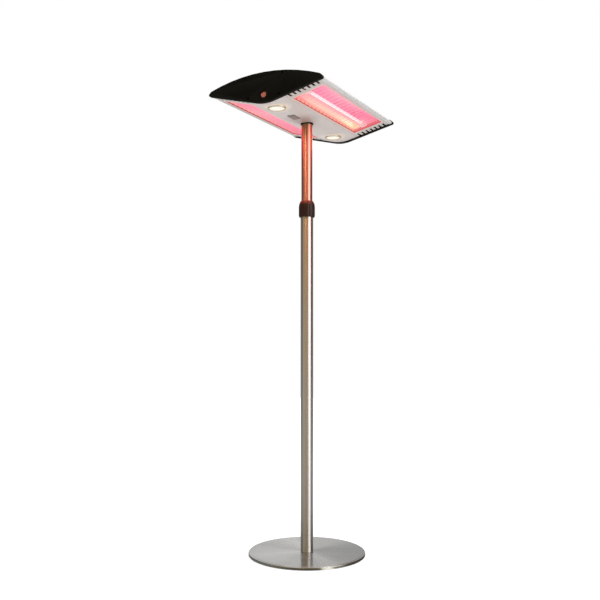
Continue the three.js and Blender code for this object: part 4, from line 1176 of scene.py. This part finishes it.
# %% Mesh helpers
def mesh_from(name, shape, crease=32.0):
    """A mesh that is smooth except at edges steeper than the crease."""
    bmesh.ops.recalc_face_normals(shape, faces=shape.faces)
    mesh = bpy.data.meshes.new(name)
    shape.to_mesh(mesh)
    shape.free()
    mesh.shade_smooth()
    mesh.set_sharp_from_angle(angle=math.radians(crease))
    return mesh


def new_piece(name, mesh, material, body, slot, *stands_for):
    """A piece that rides on a body and stands for CAD nodes."""
    mesh.materials.append(material)
    piece = bpy.data.objects.new(name, mesh)
    bpy.context.scene.collection.objects.link(piece)
    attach(piece, body)
    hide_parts(*stands_for)
    return piece


axis_weld = 0.000002  # joins the turned copies of a point that lies on the axis


def turned(name, profile, segments, crease=32.0):
    """A closed profile of (radius, height) points turned about the Z axis."""
    shape = bmesh.new()
    corners = [shape.verts.new((r, 0.0, z)) for r, z in profile]
    edges = [shape.edges.new(pair) for pair in zip(corners, corners[1:] + corners[:1])]
    bmesh.ops.spin(
        shape, geom=corners + edges, cent=(0, 0, 0), axis=(0, 0, 1), dvec=(0, 0, 0),
        angle=2 * math.pi, steps=segments, use_merge=True,
    )
    bmesh.ops.remove_doubles(shape, verts=shape.verts, dist=axis_weld)
    return mesh_from(name, shape, crease)


def arc(cx, cz, radius, start, end, steps):
    """Points on an arc, from one angle to another in degrees."""
    turns = [math.radians(start + (end - start) * i / steps) for i in range(steps + 1)]
    return [(cx + radius * math.cos(t), cz + radius * math.sin(t)) for t in turns]


print("mesh helpers ready")

# %% Skins and wires
def skin_between(shape, ring, after):
    """A band of faces between two closed rings of corners."""
    count = len(ring)
    for k in range(count):
        n = (k + 1) % count
        shape.faces.new((ring[k], ring[n], after[n], after[k]))


def sweep(shape, points, radius, sides):
    """A round wire along a path, closed at both ends."""
    rings = []
    across = None
    for i, point in enumerate(points):
        ahead = points[min(i + 1, len(points) - 1)] - points[max(i - 1, 0)]
        ahead.normalize()
        if across is None:
            across = ahead.orthogonal()
        across = (across - ahead * across.dot(ahead)).normalized()
        other = ahead.cross(across)
        ring = []
        for k in range(sides):
            turn = 2 * math.pi * k / sides
            offset = across * math.cos(turn) + other * math.sin(turn)
            ring.append(shape.verts.new(point + radius * offset))
        rings.append(ring)
    for ring, after in zip(rings, rings[1:]):
        skin_between(shape, ring, after)
    shape.faces.new(rings[0][::-1])
    shape.faces.new(rings[-1])


print("wire helpers ready")

# %% [markdown]
# ## The coils
#
# Each heating tube holds a wire wound into an open coil, with a straight lead at each
# end that runs into the ceramic holder. It could be a curve with a bevel. A swept
# mesh gives the same wire and lets the leads and the coil be one piece.

# %% Wound coils
coil_radius = 0.0019
coil_wire = 0.0004
coil_pitch = 0.0022
coil_steps = 12  # points round each turn
lead_wire = 0.0012
coil_half = tube_end - 0.010  # half the wound length


def coil_path(centre, turns):
    """The axis of the wire: a helix round the tube's own axis."""
    path = []
    for i in range(turns * coil_steps + 1):
        turn = 2 * math.pi * i / coil_steps
        path.append(Vector((
            centre.x + coil_radius * math.cos(turn), coil_pitch * i / coil_steps - coil_half,
            centre.z + coil_radius * math.sin(turn),
        )))
    return path


def make_coil(side):
    low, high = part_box(f"filament_{side}")
    centre = (low + high) / 2
    turns = int(2 * coil_half / coil_pitch)
    path = coil_path(centre, turns)
    shape = bmesh.new()
    sweep(shape, path, coil_wire, 6)
    for start, end in ((path[0].y + coil_pitch, low.y), (path[-1].y - coil_pitch, high.y)):
        lead = [Vector((centre.x, y, centre.z)) for y in (start, end)]
        sweep(shape, lead, lead_wire, 8)
    mesh = mesh_from(f"wound_coil_{side}", shape, 60.0)
    return new_piece(
        f"wound_coil_{side}", mesh, hot_coil, "head", "glowing_coil", f"filament_{side}",
    ), turns


for side in ("right", "left"):
    coil, turns = make_coil(side)
    print(coil.name, "turns:", turns)

# %% [markdown]
# ## The guards
#
# A guard is a welded wire mesh: stout rods cross the window every 29 mm, with their
# ends in the holes of the window's folded edge, and fine wires fill the squares
# between them. A texture with holes could fake it, but real wires catch the light
# on their round sides, and they show their depth when the head is seen from the side.

# %% Welded guards
rod_level = 0.0081  # rods' axes above the wing's lower line
rod_entry = 0.0035  # how far a rod's end goes into the folded edge
mesh_radius = 0.0005
mesh_gap = 0.0006  # between the fine wires' ends and the folded edge
mesh_per_rod = 3  # squares between two rods
mesh_columns = 12  # squares across the window


def wing_wire(shape, sign, ends, radius, sides):
    """A straight wire between two (u, y, n) places on the right or left wing."""
    points = [on_wing(*end) for end in ends]
    sweep(shape, [Vector((sign * p.x, p.y, p.z)) for p in points], radius, sides)


def evenly(pitch):
    """Places along the window at a pitch, as many as fit, with one row in the middle."""
    count = int(2 * window_half / pitch)
    return [(i - (count - 1) / 2) * pitch for i in range(count)]


def make_guard(side):
    sign = 1 if side == "right" else -1
    shape = bmesh.new()
    rods, rows = evenly(rod_pitch), evenly(rod_pitch / mesh_per_rod)
    reach_in, reach_out = window_inner - rod_entry, window_outer + rod_entry
    for y in rods:
        ends = [(u, y, rod_level) for u in (reach_in, reach_out)]
        wing_wire(shape, sign, ends, rod_radius, 10)
    upper = rod_level - mesh_radius
    lower = upper - 2 * mesh_radius
    for y in rows:
        ends = [(u, y, upper) for u in (window_inner + mesh_gap, window_outer - mesh_gap)]
        wing_wire(shape, sign, ends, mesh_radius, 6)
    first, last = window_inner + 2 * mesh_gap, window_outer - 2 * mesh_gap
    half = window_half - mesh_gap
    for i in range(mesh_columns + 1):
        u = first + (last - first) * i / mesh_columns
        wing_wire(shape, sign, [(u, -half, lower), (u, half, lower)], mesh_radius, 6)
    mesh = mesh_from(f"wire_guard_{side}", shape, 60.0)
    new_piece(f"wire_guard_{side}", mesh, guard_wire, "head", "zinc_steel", f"guard_{side}")
    return len(rods), len(rows)


for side in ("right", "left"):
    print("guard", side, "rods and rows:", make_guard(side))

# %% [markdown]
# ## The lamps' lenses
#
# Each lens is pressed glass with fine rings that spread the light. A bump in the
# material could draw them, but then the glass would stay flat when it is seen from
# the side. Here the rings are a wave on a turned profile.

# %% Ribbed lenses
lens_rings = 9
ring_depth = 0.0003
lens_dome = 0.0014  # how much lower the lens is in its middle than at its rim
lens_plain = 0.97  # the rings end at this share of the radius
lens_bevel = 0.0003


def make_lens(place):
    low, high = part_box(f"lamp_lens_{place}")
    steps = lens_rings * 8
    face = []
    for i in range(steps + 1):
        share = i / steps
        wave = ring_depth * (1 - math.cos(2 * math.pi * lens_rings * share)) / 2
        height = low.z + lens_dome * share ** 2 + wave * (share < lens_plain)
        face.append((lens_radius * share, height))
    back = [(lens_radius, high.z - lens_bevel), (lens_radius - lens_bevel, high.z), (0.0, high.z)]
    mesh = turned(f"ribbed_lens_{place}", face + back, 64)
    mesh.transform(Matrix.Translation((0, (low.y + high.y) / 2, 0)))
    return new_piece(
        f"ribbed_lens_{place}", mesh, lamp_glass, "head", "lamp_glass", f"lamp_lens_{place}",
    )


for place in ("front", "rear"):
    print("lens:", make_lens(place).name)

# %% [markdown]
# ## The cap screws
#
# Pan-head screws with a cross recess hold the end caps, set back in round wells. The
# head is turned and a tapered cross is cut from it with a boolean, as the punch does.
# One screw is cut and then copied, because a boolean is slow and they are all alike.

# %% Cross-head screws
def cross_punch():
    """Two crossed blades that taper as they go in, from above the head to the recess."""
    shape = bmesh.new()
    half_wide, half_thick = 0.0022, 0.00055
    above, deep = 0.0005, -0.0013
    for turn in (0.0, math.pi / 2):
        spin = Matrix.Rotation(turn, 3, "Z")
        rings = []
        for z, share in ((above, 1.15), (deep, 0.45)):
            w, t = half_wide * share, half_thick
            corners = ((-w, -t), (w, -t), (w, t), (-w, t))
            rings.append([shape.verts.new(spin @ Vector((x, y, z))) for x, y in corners])
        skin_between(shape, *rings)
        shape.faces.new(rings[0])
        shape.faces.new(rings[1][::-1])
    bmesh.ops.recalc_face_normals(shape, faces=shape.faces)
    mesh = bpy.data.meshes.new("cross_punch")
    shape.to_mesh(mesh)
    shape.free()
    return bpy.data.objects.new("cross_punch", mesh)


def screw_mesh():
    """A screw whose head's top is at z = 0 and whose shank runs down."""
    head, shank, crown, length = 0.0037, 0.0018, 0.0016, 0.0174
    round_top = arc(0.0021, -0.0014, 0.0014, 75.0, 0.0, 6)
    wider = head / round_top[-1][0]
    profile = [(r * wider, z) for r, z in [(0.0, 0.0), (0.0016, -0.00005)] + round_top]
    profile += [(head, -crown), (shank, -crown), (shank, -length), (0.0, -length)]
    return turned("screw_blank", profile, 32)


print("screw tools ready")

# %% Screws in their places
def punched(mesh):
    """The mesh with the cross cut out of its head."""
    blank = bpy.data.objects.new("screw_blank", mesh)
    punch = cross_punch()
    for item in (blank, punch):
        bpy.context.scene.collection.objects.link(item)
    cutting = blank.modifiers.new("cross", "BOOLEAN")
    cutting.operation = "DIFFERENCE"
    cutting.object = punch
    cutting.use_self = True
    graph = bpy.context.evaluated_depsgraph_get()
    done = bpy.data.meshes.new_from_object(blank.evaluated_get(graph))
    for item in (blank, punch):
        bpy.data.objects.remove(item)
    return done


def place_screws():
    shape = punched(screw_mesh())
    made = []
    for node in named("cap_screw"):
        low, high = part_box(node)
        front = "front" in node
        mesh = shape.copy()
        mesh.name = node.replace("cap_screw", "cross_screw")
        outward = math.pi / 2 if front else -math.pi / 2
        mesh.transform(Matrix.Rotation(outward, 4, "X"))
        top = low.y if front else high.y
        mesh.transform(Matrix.Translation(((low.x + high.x) / 2, top, (low.z + high.z) / 2)))
        made.append(new_piece(mesh.name, mesh, black_screw, "head", "zinc_steel", node))
    return made


print("screws:", len(place_screws()))

# %% [markdown]
# ## The clamp's grip
#
# The twist-lock nut is a moulded barrel with eight shallow flutes for the fingers.
# Eight cylinders could be cut from a barrel and the edges bevelled. It is surer to
# work out the radius for each height and angle: the barrel's own radius, or the
# flute's where that is less, blended softly so that no edge is sharp.

# %% Outline of the grip
grip_segments = 144
grip_flutes = 8
flute_centre = 0.0335  # from the pole's axis to a flute's own axis
flute_radius = 0.005
flute_blend = 0.0009  # the soft edge between a flute and the barrel


def grip_outline(bottom, top):
    """Points (radius, height) of the barrel from its foot up, and of the bore back down."""
    barrel, shoulder = 0.0305, top - 0.024
    outer = [(0.0275, bottom), (0.0285, bottom + 0.0006), (0.0293, bottom + 0.002)]
    outer += [(0.0299, bottom + 0.004), (0.0303, bottom + 0.0062), (barrel, bottom + 0.009)]
    outer += [(barrel, bottom + 0.018), (barrel, shoulder)]
    start, control, end = (barrel, shoulder), (0.030, top - 0.009), (0.0238, top - 0.0003)
    for i in range(1, 13):
        t = i / 12
        weights = ((1 - t) ** 2, 2 * t * (1 - t), t ** 2)
        outer.append(tuple(
            sum(w * p[k] for w, p in zip(weights, (start, control, end))) for k in (0, 1)
        ))
    bore = [(0.0234, top), (0.0220, top), (0.0219, top - 0.0003), (0.0219, top - 0.0044)]
    bore += [(0.0230, top - 0.0044), (0.0261, top - 0.0227), (0.0261, bottom)]
    return outer, bore


def flute_reach(turn):
    """How far out a flute lets the barrel go at an angle round the pole."""
    pitch = 2 * math.pi / grip_flutes
    from_flute = (turn + pitch / 2) % pitch - pitch / 2
    side = flute_centre * math.sin(from_flute)
    if abs(side) >= flute_radius:
        return math.inf
    return flute_centre * math.cos(from_flute) - math.sqrt(flute_radius ** 2 - side ** 2)


print("least radius in a flute:", round(flute_reach(0.0), 4))

# %% Clamp grip
def make_grip():
    low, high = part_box("clamp_nut")
    outer, bore = grip_outline(low.z, high.z)
    shape = bmesh.new()
    rings = []
    for i in range(grip_segments):
        turn = 2 * math.pi * i / grip_segments
        flute = flute_reach(turn)
        fluted = []
        for r, z in outer:
            nearness = max(flute_blend - abs(r - flute), 0.0) / flute_blend
            fluted.append((min(r, flute) - nearness ** 2 * flute_blend / 4, z))
        c, s = math.cos(turn), math.sin(turn)
        rings.append([shape.verts.new((r * c, r * s, z)) for r, z in fluted + bore])
    for ring, after in zip(rings, rings[1:] + rings[:1]):
        skin_between(shape, after, ring)
    mesh = mesh_from("clamp_grip", shape, 50.0)
    return new_piece("clamp_grip", mesh, grip_black, "clamp_nut", "plastic_black", "clamp_nut")


print("grip:", len(make_grip().data.polygons), "faces")

# %% [markdown]
# ## The ring at the top of the pole
#
# A slim ring hides the gap where the pole enters the belly panel. Its top follows the
# curve of the panel. That could be cut with the panel's own shape, but it is simpler
# to turn the ring flat first and then to lift the corners of its top.

# %% Trim ring
def make_trim():
    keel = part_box("belly_panel")[0].z
    inner, outer, foot, top = 0.0213, 0.0240, keel - 0.0034, keel - 0.0003
    chamfer, bead = 0.0004, 0.0009
    profile = [(inner, top), (inner, foot + chamfer), (inner + chamfer, foot)]
    profile += arc(outer - bead, foot + bead, bead, -90.0, 0.0, 6) + [(outer, top)]
    mesh = turned("pole_ring", profile, 96)
    for corner in mesh.vertices:
        if corner.co.z > top - weld_distance:
            corner.co.z += keel_radius - math.sqrt(keel_radius ** 2 - corner.co.x ** 2)
    return new_piece("pole_ring", mesh, moulded_black, "head", "plastic_black", "mast_trim")


print("ring:", len(make_trim().data.polygons), "faces")

# %% [markdown]
# ## The base cover
#
# The cover is spun sheet: flat in the middle, with a small step down near the edge
# and a rolled rim. Light gathers in the step and along the roll, so both are turned
# here with many small steps, finer than the CAD needs.

# %% Spun cover
def make_cover():
    low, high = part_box("base_cover")
    edge, top, foot = high.x, high.z, low.z
    sheet, roll, drop = 0.0012, 0.003, 0.0008
    bore, step, step_width = 0.0243, edge - 0.009, 0.0014

    def skin(inset):
        """One face of the sheet, from the bore to the foot of the rim."""
        line = [(bore, top - inset)]
        for i in range(9):
            t = i / 8
            fall = drop * (1 - math.cos(math.pi * t)) / 2
            line.append((step + step_width * t, top - inset - fall))
        line += arc(edge - roll, top - drop - roll, roll - inset, 90.0, 0.0, 10)
        return line + [(edge - inset, foot)]

    profile = skin(sheet) + skin(0.0)[::-1]
    mesh = turned("spun_cover", profile, 180, 50.0)
    return new_piece("spun_cover", mesh, base_steel, "stand", "base_plate", "base_cover")


print("cover:", len(make_cover().data.polygons), "faces")

# %% [markdown]
# ## The studio
#
# A pale floor runs back to a white surround. Big soft lamps light the heater evenly,
# so a colour renders about as it is written. A polished metal shows its surroundings
# more than its own colour, and in an all-white room a steel pole would vanish. So a
# ring of cards stands round the set, as they would in a real studio: grey in front,
# dark at the sides, one bright card to the right. Only reflections see them. An image
# of a room could do the same, but cards are easier to place and to read.

# %% Bearings in the studio
camera_turn = -math.pi / 2 + camera_bearing  # the camera's direction round the Z axis
bright_card = 50.0  # degrees from the camera's direction to the middle of the bright card
# painted glint: extra light on the floor beside the base, seen only in reflections
rim_glint = 21.0  # where that card's light lies on the floor beside the base


def studio_bearing(tree):
    """The bearing of a place round the pole, from the camera's side towards its right."""
    x, y, z = object_axes(tree)
    c, s = math.cos(camera_turn), math.sin(camera_turn)
    ahead = calculate(
        tree, "ADD", calculate(tree, "MULTIPLY", x, c), calculate(tree, "MULTIPLY", y, s),
    )
    aside = calculate(
        tree, "SUBTRACT", calculate(tree, "MULTIPLY", y, c), calculate(tree, "MULTIPLY", x, s),
    )
    return calculate(tree, "ARCTAN2", aside, ahead)


print("bright card at", bright_card, "degrees")

# %% Stage helpers
def bare_material(name):
    """A new material with an empty tree."""
    made = bpy.data.materials.new(name)
    made.use_nodes = True
    made.node_tree.nodes.clear()
    return made, made.node_tree


def show(tree, shader, kind="ShaderNodeOutputMaterial"):
    """Joins a shader to a new output node."""
    feed(tree, add(tree, kind), Surface=shader)


def choose(tree, mask, first, second):
    """One shader where a mask is 0, and another where it is 1."""
    mix = add(tree, "ShaderNodeMixShader")
    for source, target in zip((mask, first, second), mix.inputs):
        join(tree, source, target)
    return mix.outputs[0]


def stand_on_stage(name, mesh, material):
    """An object of the studio, which isn't part of the heater."""
    mesh.materials.append(material)
    item = bpy.data.objects.new(name, mesh)
    bpy.context.scene.collection.objects.link(item)
    return item


print("stage helpers ready")

# %% Floor
floor_size = 14.0
pale_start, pale_end = 0.3, 1.2  # the floor gets paler between these distances
mirror_start, mirror_end = 0.23, 0.9  # and so does its mirror image in metal
rim_view = 0.33  # the base's rolled rim mirrors the floor up to this far from the pole
floor_sectors = [  # bearing, half width of full light, half width of any, strength, near?
    (bright_card, 10.0, 17.0, 1.3, False),
    (rim_glint, 3.5, 8.0, 2.2, True),
    (-55.0, 5.0, 40.0, 0.22, True),
]


def mirrored_strength(tree, away):
    """How bright the floor looks in polished metal: dimmed near the base by a painted shadow,
    with the cards' light painted on in sectors.
    """
    near = below(tree, away, rim_view)
    far = calculate(tree, "SUBTRACT", 1.0, near)
    strength = graded(tree, away, mirror_start, mirror_end, 0.10, 1.0)
    for bearing, narrow, wide, gain, is_near in floor_sectors:
        off = calculate(tree, "SUBTRACT", studio_bearing(tree), math.radians(bearing))
        sector = graded(
            tree, calculate(tree, "ABSOLUTE", off), math.radians(narrow),
            math.radians(wide), gain, 0.0,
        )
        light = product(tree, sector, near if is_near else far)
        strength = calculate(tree, "ADD", strength, light)
    return strength


def make_floor_paint():
    """White paint that the camera sees glow a little, so that it stays pale far away."""
    paint, tree = bare_material("floor_paint")
    x, y, z = object_axes(tree)
    away = reach(tree, x, y)
    diffuse = add(tree, "ShaderNodeBsdfDiffuse", {"Color": (0.86, 0.86, 0.86, 1.0)})
    glow = add(tree, "ShaderNodeEmission")
    mirrored = add(tree, "ShaderNodeEmission")
    feed(tree, glow, Strength=graded(tree, away, pale_start, pale_end, 0.42, 1.0))
    feed(tree, mirrored, Strength=mirrored_strength(tree, away))
    lit = add(tree, "ShaderNodeAddShader")
    join(tree, diffuse.outputs[0], lit.inputs[0])
    join(tree, glow.outputs[0], lit.inputs[1])
    path = add(tree, "ShaderNodeLightPath").outputs
    seen = calculate(tree, "MAXIMUM", path["Is Camera Ray"], path["Is Transmission Ray"])
    plain = choose(tree, seen, diffuse.outputs[0], lit.outputs[0])
    show(tree, choose(tree, path["Is Glossy Ray"], plain, mirrored.outputs[0]))
    return paint


def make_floor():
    mesh = bpy.data.meshes.new("studio_floor")
    half = floor_size / 2
    corners = [(-half, -half, 0), (half, -half, 0), (half, half, 0), (-half, half, 0)]
    mesh.from_pydata(corners, [], [(0, 1, 2, 3)])
    return stand_on_stage("studio_floor", mesh, make_floor_paint())


print("floor:", make_floor().name)

# %% Surround
def make_surround():
    """A world that looks white and lights the heater less than it looks."""
    world = bpy.data.worlds.new("studio_surround")
    bpy.context.scene.world = world
    world.use_nodes = True
    tree = world.node_tree
    tree.nodes.clear()
    path = add(tree, "ShaderNodeLightPath").outputs
    seen = calculate(tree, "MAXIMUM", path["Is Camera Ray"], path["Is Glossy Ray"])
    seen = calculate(tree, "MAXIMUM", seen, path["Is Transmission Ray"])
    white = add(tree, "ShaderNodeBackground", {"Color": (1.0, 1.0, 1.0, 1.0)})
    feed(tree, white, Strength=between(tree, seen, 0.62, 1.0))
    show(tree, white.outputs[0], "ShaderNodeOutputWorld")
    return world


print("surround:", make_surround().name)

# %% Cards for the reflections
card_radius = 1.5
card_height = 3.2
warm_start, warm_end = 0.3, 1.3  # the low tones turn into the high ones between these
low_tones = [  # degrees round from the camera, towards its right, and the card's tone
    (-180, grey(0.80)), (-150, grey(0.62)), (-128, grey(0.22)), (-100, grey(0.13)),
    (-84, grey(0.20)), (-70, (0.60, 0.56, 0.48)), (-30, (0.34, 0.315, 0.235)),
    (16, (0.34, 0.31, 0.225)), (28, (0.55, 0.51, 0.43)), (38, grey(1.8)), (66, grey(1.8)),
    (76, grey(0.16)), (128, grey(0.13)), (150, grey(0.55)), (180, grey(0.80)),
]
high_tones = [  # the same beside the head, where the cards are warmer
    (-180, grey(0.80)), (-150, grey(0.62)), (-128, grey(0.22)), (-100, grey(0.13)),
    (-84, (0.20, 0.16, 0.13)), (-70, (0.62, 0.44, 0.29)), (-30, (0.52, 0.30, 0.065)),
    (16, (0.50, 0.285, 0.06)), (28, (0.60, 0.46, 0.28)), (38, grey(3.4)), (69, grey(3.4)),
    (78, (0.28, 0.07, 0.05)), (128, (0.20, 0.08, 0.06)), (150, grey(0.55)), (180, grey(0.80)),
]


def make_card_paper():
    paper, tree = bare_material("card_paper")
    bearing = studio_bearing(tree)
    low, high = (round_the_turn(tree, bearing, tones) for tones in (low_tones, high_tones))
    rise = graded(tree, object_axes(tree)[2], warm_start, warm_end)
    light = add(tree, "ShaderNodeEmission")
    feed(tree, light, Color=tint(tree, rise, low, high))
    show(tree, light.outputs[0])
    return paper


def make_cards():
    mesh = bpy.data.meshes.new("studio_cards")
    ring = bmesh.new()
    bmesh.ops.create_cone(
        ring, cap_ends=False, segments=96, radius1=card_radius, radius2=card_radius,
        depth=card_height, matrix=Matrix.Translation((0, 0, card_height / 2)),
    )
    ring.to_mesh(mesh)
    ring.free()
    cards = stand_on_stage("studio_cards", mesh, make_card_paper())
    for kind in ("camera", "diffuse", "transmission", "shadow", "volume_scatter"):
        setattr(cards, f"visible_{kind}", False)
    return cards


print("cards:", make_cards().name, "with", len(low_tones), "tones")

# %% Lamps
def area_lamp(name, shape, power, *size):
    """An area lamp. A rectangle has two sizes, the other shapes have one."""
    data = bpy.data.lights.new(name, "AREA")
    data.shape = shape
    data.energy = power
    data.size, data.size_y = size[0], size[-1]
    lamp = bpy.data.objects.new(name, data)
    bpy.context.scene.collection.objects.link(lamp)
    return lamp


def soft_lamp(name, size, power, bearing, height, aim, distance=3.0):
    """A square soft lamp at a bearing in degrees round from the camera, aimed at a height."""
    lamp = area_lamp(name, "SQUARE", power, size)
    turn = camera_turn + math.radians(bearing)
    lamp.location = (distance * math.cos(turn), distance * math.sin(turn), height)
    ray = Vector((0, 0, aim)) - lamp.location
    lamp.rotation_euler = ray.to_track_quat("-Z", "Y").to_euler()
    lamp.visible_glossy = False
    return lamp


lamps = [
    soft_lamp("key_lamp", size=1.6, power=42.0, bearing=48.0, height=2.6, aim=1.0),
    soft_lamp("fill_lamp", size=2.0, power=22.0, bearing=-55.0, height=1.8, aim=0.9),
    soft_lamp(
        "top_lamp", size=2.2, power=26.0, bearing=160.0, height=3.4, aim=0.8, distance=1.2,
    ),
]
print("lamps:", [lamp.name for lamp in lamps])

# %% [markdown]
# ## The glow on the pole
#
# The windows' own emission is too weak to colour the pole in a clean render, so one
# area lamp in each window carries it. Light linking keeps these lamps on the pole
# and the clamp, because the caps and rails beside a window are shielded by its
# folded edge. Each round lamp gets a small warm light too, whose reflection runs
# down the pole as a long streak. It is wider than the glass, as the lit ring and the
# panel beside it reflect too.

# %% Receivers of the glow
receivers = bpy.data.collections.new("glow_receivers")
lit_pieces = [nodes[name] for name in ("upper_tube", "lower_tube")]
lit_pieces += [bpy.data.objects[name] for name in ("clamp_grip", "pole_ring")]
for piece in lit_pieces:
    receivers.objects.link(piece)
print("lit by the glow:", [piece.name for piece in lit_pieces])

# %% Glow of the windows and the lamps
window_glow_level = 0.0055  # above the wing's lower line, inside the folded edge
round_glow_drop = 0.0005  # under the glass


def hang(lamp, colour, place, tilt=0.0):
    """Fixes a lamp in the head, with light that only the pole and the clamp receive."""
    lamp.data.color = colour
    lamp.location = place
    lamp.rotation_euler = (0.0, tilt, 0.0)
    lamp.visible_camera = False
    lamp.light_linking.receiver_collection = receivers
    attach(lamp, "head")
    return lamp


def window_lamp(side):
    """The heat glow that leaves a window and falls on the pole and the clamp."""
    lamp = area_lamp(f"window_glow_{side}", "RECTANGLE", 1.3, 0.105, 0.46)
    sign = 1 if side == "right" else -1
    spot = on_wing(window_middle, 0.0, window_glow_level)
    return hang(lamp, (1.0, 0.07, 0.045), (sign * spot.x, 0.0, spot.z), -sign * wing_slope)


def round_lamp(place):
    """The warm light of a round lamp under the head."""
    low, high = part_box(f"lamp_lens_{place}")
    lamp = area_lamp(f"round_glow_{place}", "DISK", 0.5, 0.1)
    spot = (0.0, (low.y + high.y) / 2, low.z - round_glow_drop)
    return hang(lamp, (1.0, 0.62, 0.34), spot)


glow_lamps = [window_lamp(side) for side in ("right", "left")]
glow_lamps += [round_lamp(place) for place in ("front", "rear")]
print("glow lamps:", [lamp.name for lamp in glow_lamps])

# %% [markdown]
# ## Colours
#
# The colours are shown as they are written, with no film look laid over them.

# %% Colour handling
bpy.context.scene.view_settings.view_transform = "Standard"
print("view transform:", bpy.context.scene.view_settings.view_transform)
